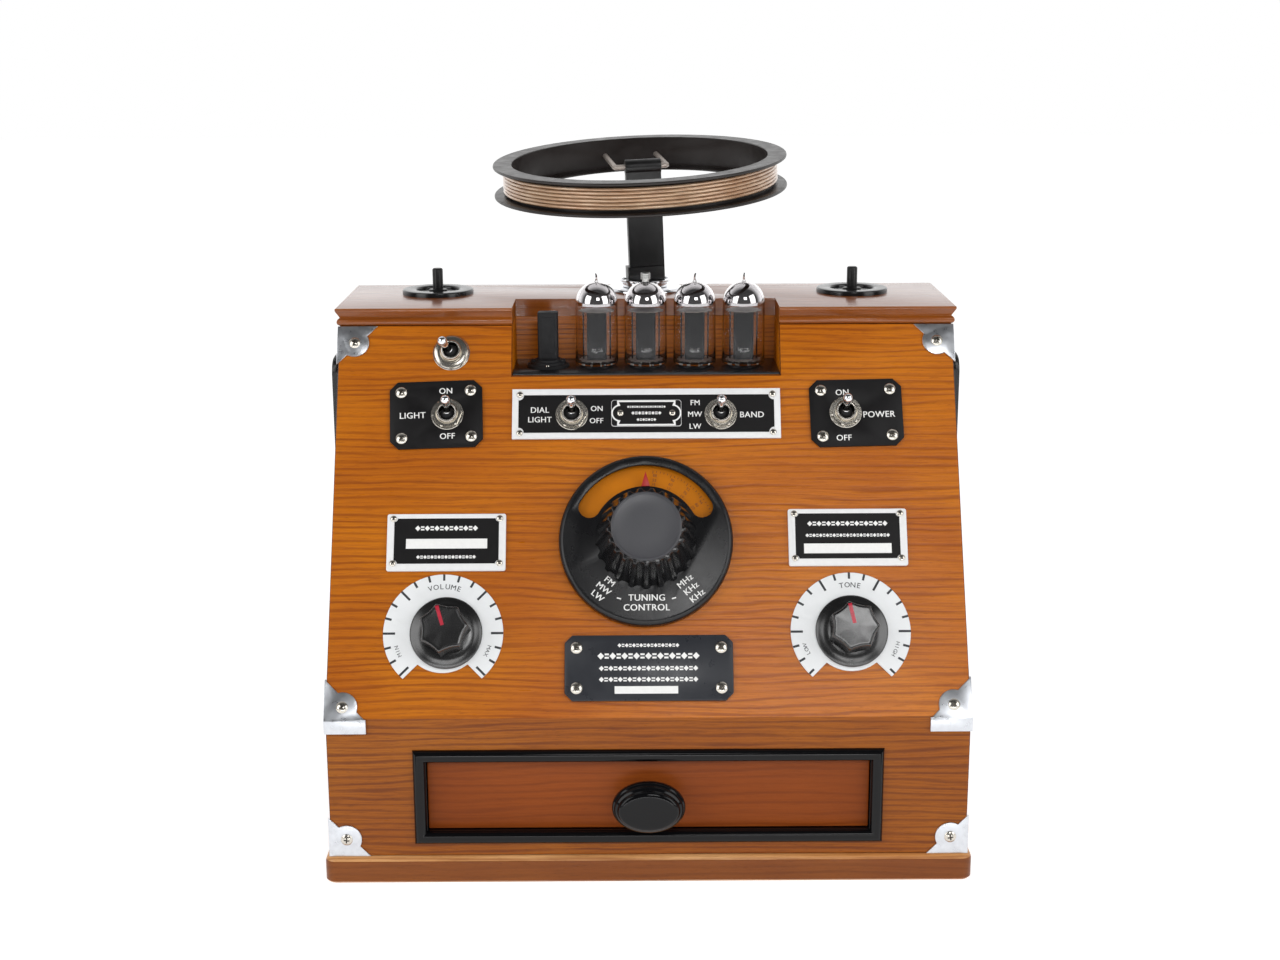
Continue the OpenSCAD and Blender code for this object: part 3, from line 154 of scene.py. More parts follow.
def ramp(tree, value, stops):
    node = add(tree, "ShaderNodeValToRGB", {"Fac": value})
    elements = node.color_ramp.elements
    elements[0].position, elements[0].color = stops[0]
    elements[1].position, elements[1].color = stops[-1]
    for position, colour in stops[1:-1]:
        elements.new(position).color = colour
    return node.outputs["Color"]


def remap(tree, value, low, high, to_low=0.0, to_high=1.0):
    return add(tree, "ShaderNodeMapRange", {
        "Value": value, "From Min": low, "From Max": high, "To Min": to_low, "To Max": to_high,
    }).outputs["Result"]


def blend_colour(tree, factor, first, second):
    return add(tree, "ShaderNodeMix", {0: factor, 6: first, 7: second}, data_type="RGBA").outputs[2]


def blend_value(tree, factor, first, second):
    return add(tree, "ShaderNodeMix", {0: factor, 2: first, 3: second}, data_type="FLOAT").outputs[0]


def math_node(tree, operation, first, second):
    return add(tree, "ShaderNodeMath", {0: first, 1: second}, operation=operation).outputs[0]


def times(tree, first, second):
    return math_node(tree, "MULTIPLY", first, second)


def bump(tree, shader, height, depth, strength):
    """Gives the shader a relief of that depth in mm, and returns the relief's normals."""
    node = add(tree, "ShaderNodeBump", {"Height": height, "Distance": depth * MM, "Strength": strength})
    feed(tree, shader, Normal=node.outputs["Normal"])
    return node.outputs["Normal"]


def wood(name, light, middle, dark, grain="X", offset=(0, 0, 0), streak=1.0, gloss=0.3, coat=0.1, fine=1.0,
         coat_rough=0.2, ior=1.3, spacing=4.6, dim_above=None):
    """Varnished open-grained board. The streaks run along the grain's axis, spacing mm apart."""
    material, tree, shader = new_material(name)
    along, across = {"X": ((1, 0, 0), (0, 0.5, 1)), "Z": ((0, 0, 1), (1, 1, 0))}[grain]
    light, middle, dark = rgb(*light), rgb(*middle), rgb(*dark)

    def grained(length, width, *settings):
        """Noise in features of that length along the grain and that width across it, in mm."""
        scale = [1 / (MM * (length if a else width)) for a in along]
        return noise(tree, place_coords(tree, scale, offset), *settings)

    drift, ripple, fading, clouds = grained(170, 34), grained(40, 6), grained(60, 6), grained(90, 45)
    threads = grained(14, 0.7, 2.0, 0.6)
    pores = grained(4.5, 0.3, 1.0)

    def stripes(period, low, drift_share, ripple_share):
        """Dark lines along the grain, period mm apart, 1 in their middle. Drift and ripple move them."""
        where = add(tree, "ShaderNodeVectorMath", {0: place_coords(tree, (1, 1, 1), offset), 1: across},
                    operation="DOT_PRODUCT").outputs["Value"]
        turns = times(tree, where, 2 * math.pi / (MM * period))
        for warp, share in ((drift, drift_share), (ripple, ripple_share)):
            turns = math_node(tree, "ADD", turns, times(tree, warp, 2 * math.pi * share))
        return remap(tree, math_node(tree, "SINE", turns, 0.0), low, 1.0)

    lines = times(tree, stripes(spacing, 0.0, 3.6, 0.75), remap(tree, fading, 0.3, 0.6, 0.2, 1.0))
    fine_lines = times(tree, stripes(spacing * 0.36, 0.1, 7.0, 1.2),
                       remap(tree, ripple, 0.35, 0.65, 0.2, 0.9))
    colour = blend_colour(tree, remap(tree, clouds, 0.35, 0.65), middle, light)
    pore_colour = (dark[0] * 0.45, dark[1] * 0.4, dark[2] * 0.4, 1)
    for layer, share, tint in ((lines, 0.75 * streak, dark), (fine_lines, 0.32 * streak, dark),
                               (remap(tree, threads, 0.5, 0.3), 0.4 * streak, dark),
                               (remap(tree, pores, 0.36, 0.26), 0.35 * fine, pore_colour)):
        colour = blend_colour(tree, times(tree, layer, share), colour, tint)
    if dim_above:
        shade = remap(tree, height_in(tree), (dim_above - 0.2) * MM, (dim_above + 0.2) * MM, 0.0, 0.55)
        colour = blend_colour(tree, shade, colour, dark)
    relief = math_node(tree, "SUBTRACT", threads, times(tree, lines, 0.5))
    normal = bump(tree, shader, relief, 0.12, 0.5)
    rough = remap(tree, threads, 0.2, 0.8, gloss + 0.1, gloss - 0.05)
    feed(tree, shader, Base_Color=colour, Roughness=rough, IOR=ior, Coat_Weight=coat,
         Coat_Roughness=coat_rough, Coat_Normal=normal)
    return material


def finish(name, colour, rough, metal=0.0, coat=0.0, spread=0.06, size=6.0, relief=0.0, shine=0.5):
    """A solid finish with faint clouds in its colour, gloss and surface. size is the clouds' size in mm."""
    material, tree, shader = new_material(name)
    clouds = noise(tree, place_coords(tree, [1 / (MM * size)] * 3), 4.0, 0.6)
    low, high = ([min(1, c * (1 + side * spread)) for c in rgb(*colour)[:3]] + [1] for side in (-1, 1))
    clouded = ramp(tree, clouds, [(0.3, low), (0.7, high)])
    feed(tree, shader, Base_Color=clouded, Metallic=metal, Coat_Weight=coat, Coat_Roughness=0.1,
         Specular_IOR_Level=shine, Roughness=remap(tree, clouds, 0.3, 0.7, rough * 0.85, rough * 1.2))
    if relief:
        bump(tree, shader, noise(tree, place_coords(tree, [1 / (MM * size * 0.12)] * 3), 3.0), relief, 0.6)
    return material


CABINET_WOOD = (190, 108, 10), (173, 92, 9), (126, 58, 8)
wood_front = wood("cabinet_wood", *CABINET_WOOD, streak=0.9)
# A darker copy of the cabinet wood for the upright lower board: painted shade.
wood_low_with_painted_shade = wood("cabinet_low_wood_painted_shade", (158, 89, 16), (144, 76, 12), (98, 43, 8), offset=(8, 3, 6), spacing=3.9)
wood_side = wood("cabinet_side_wood", *CABINET_WOOD, grain="Z", offset=(3, 5, 7))
# Dark wood for the front boards' rounded edges: a seam, with painted shade along it.
wood_edge_seam_and_shade = wood("board_edge_seam_and_shade_wood", (104, 52, 16), (84, 40, 14), (52, 24, 10), offset=(6, 1, 8), streak=0.6)
wood_lid = wood("lid_wood", (146, 78, 16), (132, 68, 13), (100, 46, 9), offset=(11, 2, 5), streak=0.6,
                coat=0.7, coat_rough=0.11)
wood_plinth = wood("plinth_wood", (134, 74, 26), (122, 64, 22), (90, 44, 14), offset=(1, 9, 4), streak=0.5)
wood_recess = wood("recess_wood", (206, 116, 10), (182, 98, 8), (96, 46, 6), offset=(5, 1, 2), spacing=2.8,
                   dim_above=BODY_TOP + 0.6)
wood_drawer = wood("drawer_wood", (140, 68, 20), (128, 60, 16), (98, 42, 12), offset=(7, 7, 1), streak=0.5,
                   fine=0.6, gloss=0.4, coat=0.05, ior=1.25)
wood_plain = wood("plain_wood", (196, 156, 108), (180, 138, 92), (150, 108, 66), offset=(2, 2, 9))
# Pale wood for worn edges: wear, and on the lid's edges also a painted highlight.
wood_worn_and_highlit = wood("worn_and_highlit_wood", (214, 162, 108), (188, 128, 72), (146, 88, 42), offset=(4, 3, 2))
black_gloss = finish("black_gloss", (17, 17, 19), 0.2, size=9)
dial_black = finish("dial_black", (20, 20, 22), 0.26, size=16, spread=0.04, shine=0.4)
knob_black = finish("knob_black", (10, 10, 11), 0.24, size=9, spread=0.04, shine=1.0)
pull_black = finish("pull_black", (9, 9, 11), 0.1, size=9, spread=0.04, shine=0.25)
black_plate = finish("black_plate", (20, 19, 20), 0.42, size=5, shine=0.2)
badge_grey = finish("badge_grey", (44, 46, 51), 0.3, size=9, shine=0.4)
black_satin = finish("black_satin", (17, 16, 17), 0.36, size=4, relief=0.004, shine=0.4)
black_matt_and_bore_shade = finish("black_matt_and_bore_shade", (24, 24, 26), 0.6, size=3, relief=0.02, shine=0.3)
cap_grey = finish("cap_grey", (61, 61, 65), 0.36, coat=0.15, size=12, spread=0.05)
chrome = finish("chrome", (226, 227, 230), 0.06, metal=1, spread=0.03, size=4)
plated = finish("plated_sheet", (206, 209, 214), 0.3, metal=1, spread=0.08, size=4)
nickel = finish("nickel", (204, 199, 189), 0.22, metal=1, spread=0.03, size=14)
tinned = finish("tinned_wire", (176, 166, 158), 0.42, metal=0.6, spread=0.03, size=8)
steel = finish("steel", (178, 178, 176), 0.3, metal=1, size=2, relief=0.004)
white_metal = finish("white_metal", (226, 226, 226), 0.4, spread=0.03, size=3)
scale_white = finish("scale_plate", (228, 230, 231), 0.4, spread=0.02, size=8)
white_ink = finish("white_ink", (232, 232, 230), 0.5, spread=0.03, size=2)
dark_ink = finish("dark_ink", (48, 50, 54), 0.5, size=2)
brown_ink = finish("brown_ink", (112, 52, 8), 0.5, size=2)
amber = finish("amber_scale", (196, 114, 3), 0.5, spread=0.08, size=14, shine=0.15)
red = finish("red_cursor", (176, 22, 18), 0.4, size=3)
red_paint = finish("red_paint", (172, 26, 50), 0.3, spread=0.15, size=3)
anode = finish("electrode_metal", (13, 15, 18), 0.6, spread=0.05, size=9, shine=0.1)
mica = finish("mica", (92, 84, 78), 0.4, size=3)
loop_black = finish("loop_black", (30, 24, 22), 0.34, size=6, relief=0.006, shine=0.4)
cone_paper = finish("cone_paper", (44, 44, 46), 0.8, size=2, relief=0.06)
board_green = finish("board_green", (38, 98, 58), 0.4, coat=0.3, size=8, relief=0.02)
core_iron = finish("core_iron", (92, 90, 88), 0.45, metal=0.8, size=2, relief=0.03)
fibre_brown = finish("fibre_board", (112, 74, 42), 0.7, spread=0.15, size=3, relief=0.05)


def make_glass():
    material, tree, shader = new_material("valve_glass")
    smears = noise(tree, place_coords(tree, (60, 60, 30)), 3.0)
    feed(tree, shader, Base_Color=(0.95, 0.93, 0.93, 1), Transmission_Weight=1.0, IOR=1.3,
         Roughness=remap(tree, smears, 0.55, 0.8, 0.0, 0.05))
    clear = add(tree, "ShaderNodeBsdfTransparent", {"Color": (0.93, 0.93, 0.94, 1)})
    shadow = add(tree, "ShaderNodeLightPath").outputs["Is Shadow Ray"]
    mix = add(tree, "ShaderNodeMixShader", {0: shadow, 1: shader.outputs[0], 2: clear.outputs[0]})
    set_inputs(tree, tree.nodes["Material Output"], {"Surface": mix.outputs[0]})
    return material


# The silvered dome of a valve: the height of its lower edge, how fast it fades there and how far it strays
MIRROR_EDGE, MIRROR_FADE, MIRROR_FLECKS = 290.0, 0.5, 1.6


def make_mirror():
    material, tree, shader = new_material("valve_mirror")
    flecks = noise(tree, place_coords(tree, (300, 300, 300)), 4.0, 0.65)
    height = math_node(tree, "ADD", height_in(tree), times(tree, flecks, MIRROR_FLECKS * MM))
    feed(tree, shader, Base_Color=rgb(216, 216, 218), Metallic=1.0, Roughness=0.035,
         Alpha=remap(tree, height, MIRROR_EDGE * MM, (MIRROR_EDGE + MIRROR_FADE) * MM))
    return material


def make_wire():
    material, tree, shader = new_material("wire")
    strands = noise(tree, place_coords(tree, (90, 90, 1300)), 3.0, 0.6)
    patches = noise(tree, place_coords(tree, (25, 25, 120)))
    shades = ramp(tree, strands, [(0.3, rgb(140, 104, 74)), (0.5, rgb(184, 150, 118)),
                                  (0.7, rgb(206, 180, 152))])
    patched = blend_colour(tree, remap(tree, patches, 0.35, 0.7, 0.0, 0.5), shades, rgb(176, 128, 92))
    feed(tree, shader, Base_Color=patched, Metallic=0.35, Coat_Weight=0.9, Coat_Roughness=0.08,
         Roughness=remap(tree, strands, 0.3, 0.7, 0.42, 0.26))
    bump(tree, shader, strands, 0.03, 0.5)
    return material


glass = make_glass()
mirror = make_mirror()
wire = make_wire()


# Mesh builders
BIG_FLAT = 70.0
FLAT_TURN = math.cos(math.radians(0.5))
CORNERS = (-1, -1), (1, -1), (1, 1), (-1, 1)

def shade_faces(bm):
    """Smooths curved skins. A broad flat area stays flat, with all the small faces that lie in it."""
    area = BIG_FLAT * MM ** 2
    seen = set()
    for first in bm.faces:
        if first in seen:
            continue
        seen.add(first)
        group = [first]
        for face in group:
            for edge in face.edges:
                for other in edge.link_faces:
                    if other not in seen and other.normal.dot(face.normal) > FLAT_TURN:
                        seen.add(other)
                        group.append(other)
        broad = sum(face.calc_area() for face in group) >= area
        for face in group:
            face.smooth = not broad and len(face.verts) <= 4


def make_piece(name, bm, materials, replaces=(), matrix=AT_ORIGIN, smooth=32.0, body="cabinet"):
    """Turns a mesh in local millimetres into a piece that stands in the frame and rides on a body."""
    bmesh.ops.recalc_face_normals(bm, faces=bm.faces)
    bm.transform(Matrix.Scale(MM, 4) @ matrix)
    link_piece(name, bm, materials, replaces, smooth, body)


def link_piece(name, bm, materials, replaces, smooth, body="cabinet"):
    bm.normal_update()
    shade_faces(bm)
    mesh = as_mesh(name, bm)
    for material in materials if isinstance(materials, list) else [materials]:
        mesh.materials.append(material)
    mesh.set_sharp_from_angle(angle=math.radians(smooth))
    piece = new_object(name, mesh)
    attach(piece, body)
    if replaces:
        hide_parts(*replaces)


def as_mesh(name, bm):
    mesh = bpy.data.meshes.new(name)
    bm.to_mesh(mesh)
    bm.free()
    return mesh


def merge(bm, mesh):
    bm.from_mesh(mesh)
    bpy.data.meshes.remove(mesh)


def evaluated(thing):
    """The mesh of an object with its modifiers applied. The object itself is removed."""
    bpy.context.view_layer.update()
    mesh = bpy.data.meshes.new_from_object(thing.evaluated_get(bpy.context.evaluated_depsgraph_get()))
    bpy.data.objects.remove(thing)
    return mesh


def dressed(name, nodes, materials, width, keep=None, angle=30.0, body="cabinet"):
    """A copy of CAD nodes with its edges rounded. Of two materials, the second is on the edges."""
    bm = bmesh.new()
    for node in nodes:
        bm.from_mesh(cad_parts[node].data)
    bmesh.ops.remove_doubles(bm, verts=bm.verts, dist=0.002 * MM)
    bmesh.ops.dissolve_limit(bm, angle_limit=math.radians(0.4), verts=bm.verts, edges=bm.edges)
    for face in bm.faces:
        face.material_index = 0
    sharp = [e for e in bm.edges if len(e.link_faces) == 2 and e.calc_face_angle(0) > math.radians(angle)
             and (keep is None or keep(e.verts[0].co / MM, e.verts[1].co / MM))]
    if width:
        bmesh.ops.bevel(bm, geom=sharp, offset=width * MM, offset_type="OFFSET", segments=2, profile=0.5,
                        affect="EDGES", clamp_overlap=True, material=1 if isinstance(materials, list) else -1)
    bmesh.ops.recalc_face_normals(bm, faces=bm.faces)
    link_piece(name, bm, materials, nodes, 32.0, body)


def circle(radius, steps):
    angles = [2 * math.pi * i / steps for i in range(steps)]
    return [(radius * math.cos(a), radius * math.sin(a)) for a in angles]


def arc(x, y, radius, start, sweep, steps):
    """Points on an arc round x, y. The angles are in degrees."""
    angles = [math.radians(start + sweep * i / steps) for i in range(steps + 1)]
    return [(x + radius * math.cos(a), y + radius * math.sin(a)) for a in angles]


def ring(bm, points, height, matrix=AT_ORIGIN):
    """Vertices at [x, y] points, all at one height."""
    return [bm.verts.new(matrix @ Vector((x, y, height))) for x, y in points]


def bridge(bm, rings, closed=False, index=0):
    """Joins rings of vertices, each a list of the same length or of one vertex, into a skin."""
    for low, high in list(zip(rings, rings[1:])) + ([(rings[-1], rings[0])] if closed else []):
        count = max(len(low), len(high))
        for i in range(count if count > 1 else 0):
            j = (i + 1) % count
            corners = low[i % len(low)], low[j % len(low)], high[j % len(high)], high[i % len(high)]
            bm.faces.new(tuple(dict.fromkeys(corners))).material_index = index


def lathe(bm, profile, steps=64, closed=False, matrix=AT_ORIGIN, index=0):
    """Turns [radius, height] points about the local Z axis."""
    rings = [ring(bm, circle(radius, steps) if radius > 1e-6 else [(0, 0)], height, matrix)
             for radius, height in profile]
    bridge(bm, rings, closed, index)


def shaped(bm, outline, heights, matrix=AT_ORIGIN, index=0, top=True):
    """Stacks an outline, given by a function of the height that returns [x, y] points, and caps its ends."""
    rings = [ring(bm, outline(h), h, matrix) for h in heights]
    bridge(bm, rings, False, index)
    for end in (rings[0], rings[-1]) if top else rings[:1]:
        bm.faces.new(end).material_index = index


def slab(bm, outline, low, high, round_off=0.0, matrix=AT_ORIGIN, index=0):
    """A flat plate of any outline with its top edge rounded off."""
    count = len(outline)
    centre = Vector((sum(p[0] for p in outline) / count, sum(p[1] for p in outline) / count))
    extent = max((Vector(p) - centre).length for p in outline)

    def at(height):
        below = max(0.0, height - (high - round_off))
        inset = round_off - math.sqrt(max(0.0, round_off ** 2 - below ** 2)) if round_off else 0.0
        return [tuple(centre + (Vector(p) - centre) * (1 - inset / extent)) for p in outline]

    tops = [high - round_off * (1 - math.sin(math.pi / 2 * i / 3)) for i in range(4)] if round_off else [high]
    shaped(bm, at, [low] + tops, matrix, index)


def rectangle(width, height, radius=0.0, steps=6):
    w, h = width / 2 - radius, height / 2 - radius
    if not radius:
        return [(sx * w, sy * h) for sx, sy in CORNERS]
    starts = ((1, -1, -90), (1, 1, 0), (-1, 1, 90), (-1, -1, 180))
    return [point for sx, sy, start in starts for point in arc(sx * w, sy * h, radius, start, 90, steps)]


def notched(width, height, radius):
    """A rectangle with a quarter circle cut out of each corner."""
    starts = ((1, -1, 180), (1, 1, 270), (-1, 1, 0), (-1, -1, 90))
    return [point for sx, sy, start in starts
            for point in arc(sx * width / 2, sy * height / 2, radius, start, -90, 6)]


# Lettering: how far print stands up, and how far apart the copies lie that make it bold
INK = 0.06
BOLD_SPREAD, BOLD_LIFT = 0.6, 0.004


def word_mesh(words, cap_height):
    curve = bpy.data.curves.new("word", "FONT")
    curve.body = words
    curve.align_x = "CENTER"
    curve.space_character = 1.06
    curve.resolution_u = 3
    mesh = evaluated(new_object("word", curve))
    bpy.data.curves.remove(curve)
    low, high = (Vector([pick(v.co[i] for v in mesh.vertices) for i in range(3)]) for pick in (min, max))
    mesh.transform(Matrix.Scale(cap_height / (high.y - low.y), 4) @ Matrix.Translation(-(low + high) / 2))
    return mesh


def letter(bm, words, cap_height, matrix, weight=0.03):
    """Adds raised lettering, centred on the matrix's origin. Three copies side by side are bold."""
    part = bmesh.new()
    for step in (-1, 0, 1) if weight > 0 else (0,):
        mesh = word_mesh(words, cap_height)
        mesh.transform(shift(BOLD_SPREAD * weight * cap_height * step, 0, BOLD_LIFT * step))
        merge(part, mesh)
    bmesh.ops.remove_doubles(part, verts=part.verts, dist=1e-4)
    raised = bmesh.ops.extrude_face_region(part, geom=part.faces[:])["geom"]
    bmesh.ops.translate(part, verts=[v for v in raised if isinstance(v, bmesh.types.BMVert)], vec=(0, 0, INK))
    part.transform(matrix)
    merge(bm, as_mesh("part", part))


def bar(bm, x, y, width, height, matrix, top=INK):
    """A thin printed bar centred on x, y."""
    slab(bm, rectangle(width, height), 0, top, 0, matrix @ shift(x, y))


def ornament(bm, x, y, width, height, matrix):
    """A printed border: lozenges with a pair of short bars between them."""
    count = round(width / (height * 1.75))
    step = width / count
    half_w, half_h = height * 0.95 / 2, height / 2
    for i in range(count):
        gap = x - width / 2 + step * i
        mid = gap + step / 2
        lozenge = [(mid - half_w, y), (mid, y - half_h), (mid + half_w, y), (mid, y + half_h)]
        slab(bm, lozenge, 0, INK, 0, matrix)
        for lift in (-0.24, 0.24) if i else ():
            bar(bm, gap, y + lift * height, step - height * 1.08, height * 0.26, matrix)


# Cabinet. The front boards' edges are rounded at the sides, along the top and round the recess. Their rounded
# edges are dark: partly a seam, partly painted shade.
SIDE_EDGE_X, TOP_EDGE_Z = 160, 278
RECESS_EDGE_X, RECESS_EDGE_Z = 76, 250
CREASE_NEAR = 4


def outer_edge(a, b):
    """True where a front board's edge is rounded. The crease and the holes stay sharp."""
    if all(abs(v.z - CREASE_Z) < CREASE_NEAR for v in (a, b)):
        return False
    return all(abs(v.x) > SIDE_EDGE_X or v.z > TOP_EDGE_Z
               or (v.z > RECESS_EDGE_Z and abs(v.x) < RECESS_EDGE_X) for v in (a, b))


dressed("front_board", ["sloped_panel"], [wood_front, wood_edge_seam_and_shade], 0.35, keep=outer_edge)
dressed("lower_board", ["lower_panel"], [wood_low_with_painted_shade, wood_edge_seam_and_shade], 0.35, keep=outer_edge)
dressed("side_board_left", ["left_side"], wood_side, 0.4)
dressed("side_board_right", ["right_side"], wood_side, 0.4)
# The lid's rounded edges are pale: wear, with a painted highlight along them.
dressed("lid_board", ["top_lid"], [wood_lid, wood_worn_and_highlit], 0.3)
dressed("recess_box", ["valve_recess"], wood_recess, 0.4)
dressed("back_board", ["back_panel"], fibre_brown, 0.3)
dressed("drawer_board", ["drawer_front"], wood_drawer, 0.5, body="drawer")
dressed("drawer_tray", ["drawer_box"], wood_plain, 0.4, body="drawer")
dressed("runner_rails", ["drawer_runners"], wood_plain, 0.3)

# The moulded plinth: how far its side stands back at each height, and the part of its height that isn't worn
PLINTH_CORNER = 6.0
PLINTH_INSETS = {0.0: 1.2, 1.2: 0.0, 11.2: 0.0, 12.3: 0.25, 13.3: 0.9, 14.0: 1.6, 14.3: 2.5}
UNWORN = (0.9, 12.8)


def make_plinth():
    low, high = (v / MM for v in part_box("plinth"))
    bm = bmesh.new()

    def outline(h):
        inset = PLINTH_INSETS[h]
        return rectangle(high.x - low.x - 2 * inset, high.y - low.y - 2 * inset, PLINTH_CORNER - inset, 8)

    shaped(bm, outline, PLINTH_INSETS, shift((low.x + high.x) / 2, (low.y + high.y) / 2))
    for face in bm.faces:
        worn = not UNWORN[0] <= face.calc_center_median().z <= UNWORN[1]
        face.material_index = 1 if worn and abs(face.normal.z) < 0.95 else 0
    make_piece("plinth_board", bm, [wood_plinth, wood_worn_and_highlit], ["plinth"])


make_plinth()

# Drawer frame: a half-round moulding with mitred corners, and the black lining of the opening behind it: the
# frame's inner leg, its black also painted shade in the gap round the drawer
FRAME_W, SHADE_LINING_T, SHADE_LINING_IN = 6.7, 0.2, 9.0


def make_drawer_frame():
    low, high = (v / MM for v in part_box("drawer_frame"))
    inner_w, inner_h = (high.x - low.x) / 2 - FRAME_W, (high.z - low.z) / 2 - FRAME_W
    centre_z = (low.z + high.z) / 2
    # The lining's black paints the shade in the gap between the frame and the drawer.
    profile = [(0.0, -SHADE_LINING_IN), (-SHADE_LINING_T, -SHADE_LINING_IN), (-SHADE_LINING_T, 0.0)]
    profile += arc(FRAME_W / 2, 0, FRAME_W / 2, 180, -180, 20)
    bm = bmesh.new()
    bridge(bm, [[bm.verts.new((sx * (inner_w + out), FRONT_Y - up, centre_z + sz * (inner_h + out)))
                 for sx, sz in CORNERS] for out, up in profile], True)
    make_piece("drawer_moulding", bm, pull_black, ["drawer_frame"], smooth=40)


make_drawer_frame()


def make_drawer_knob():
    """An oval knob on a round neck: the half width and half height of its rings by their height."""
    low, high = (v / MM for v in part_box("drawer_knob"))
    centre = (low + high) / 2
    half_w, half_h, out = (high.x - low.x) / 2, (high.z - low.z) / 2, high.y - low.y
    rings = {0: (7.4, 7.4), 1.2: (7.4, 7.4), 2.2: (7.0, 7.0), 3.0: (5.8, 5.8), 5.0: (5.4, 5.4),
             8.6: (5.8, 5.8), out - 10.6: (9.5, 8.0)}
    for inset, drop in ((2.0, 10.2), (0.6, 9.8), (0, 9.0), (0, 6.6), (0.4, 5.8), (1.0, 5.4), (1.3, 4.9),
                        (1.4, 4.0), (1.9, 3.4), (2.6, 3.1), (2.9, 2.7), (3.1, 1.7), (3.5, 1.0), (4.2, 0.45),
                        (5.4, 0.12), (7.4, 0)):
        rings[out - drop] = half_w - inset, half_h - inset
    bm = bmesh.new()
    shaped(bm, lambda h: [(rings[h][0] * x, rings[h][1] * y) for x, y in circle(1, 72)], rings)
    make_piece("drawer_pull", bm, pull_black, ["drawer_knob"],
               shift(centre.x, high.y, centre.z) @ turn(90, "X"), smooth=50, body="drawer")


make_drawer_knob()

dressed("guards_corner", ["corner_guards"], plated, 0.3)
dressed("guards_crease", ["crease_guards"], plated, 0.3)


# Screws
def screw_mesh(radius, height):
    """A domed head with a cross cut into it, as a mesh. Faces inside the cross have material 1, a darker
    metal that paints the shade in the cross.
    """
    crown = radius * 1.6
    drop = height - crown
    shares = (1, 0.94, 0.8, 0.6, 0.4, 0.2)
    dome = [(radius * k, drop + math.sqrt(crown ** 2 - (radius * k) ** 2)) for k in shares]
    head, cutter = bmesh.new(), bmesh.new()
    lathe(head, [(0, 0), (radius, 0), (radius, dome[0][1] * 0.9)] + dome[1:] + [(0, height)], 32)
    arm, thick = radius * 0.58, radius * 0.13
    cross = [(thick, thick), (arm, thick), (arm, -thick), (thick, -thick), (thick, -arm), (-thick, -arm),
             (-thick, -thick), (-arm, -thick), (-arm, thick), (-thick, thick), (-thick, arm), (thick, arm)]

    def tapered(h):
        size = 0.72 if h < height else 1
        return [(x * size, y * size) for x, y in cross]

    shaped(cutter, tapered, [height * 0.42, height * 1.3])
    for bm in (head, cutter):
        bmesh.ops.recalc_face_normals(bm, faces=bm.faces)
    head, cutter = (new_object("screw", as_mesh("screw", bm)) for bm in (head, cutter))
    cut = head.modifiers.new("cut", "BOOLEAN")
    cut.object = cutter
    cut.solver = "EXACT"
    result = evaluated(head)
    bpy.data.objects.remove(cutter)
    for polygon in result.polygons:
        x, y, z = polygon.center
        sunk = 0.1 < z < drop + math.sqrt(crown ** 2 - x ** 2 - y ** 2) - 0.08
        polygon.material_index = 1 if sunk and math.hypot(x, y) < arm * 1.02 else 0
    return result


# A darker metal for the bottoms of the screws' crosses: painted shade in the slots.
painted_slot_shade = finish("painted_slot_shade", (84, 78, 70), 0.4, metal=0.7, size=1)
BIG_SCREW = screw_mesh(3.1, 1.5)
SMALL_SCREW = screw_mesh(1.7, 1.1)


def screw(bm, matrix, small=False):
    mesh = (SMALL_SCREW if small else BIG_SCREW).copy()
    mesh.transform(matrix)
    merge(bm, mesh)


# Plates and badges on the slope. Their rims stand up round a sunken field
PLATE_T, SINK = 1.6, 0.3
PLATE_X, SWITCH_S = 113.4, 164.1
PLATE_TURNS = {-1: 1.8, 1: 1.08}
BADGES = {-1: (-106.45, 93.3), 1: (106.45, 95.1)}
BADGE_RISE = 0.8
LOW_BADGE, LOW_BADGE_T = (0.5, 25.8), 2.0
CENTRE_BADGE_H = PLATE_T - SINK + 1.0
# Screws, from the middle of the plate or badge that they hold, or from the edges of a guard
PLATE_SCREW, LONG_SCREW, CENTRE_SCREW_X = (18.7, 12.9), (68.3, 10.8), 14
LOW_SCREW, BADGE_SCREW = (37.8, 10.6), (28.2, 12.1)
GUARD_T, GUARD_SCREW, CREASE_RISE = 0.9, 9.6, -3.6
BACK_SCREW_X, BACK_SCREW_ZS, RECESS_SCREW_X = 149.5, (28.3, 140, 266), 78.75
PLINTH_TOP = 14.3
SLOPE_LEN = (BODY_TOP - CREASE_Z) / math.cos(math.radians(SLOPE_ANGLE))


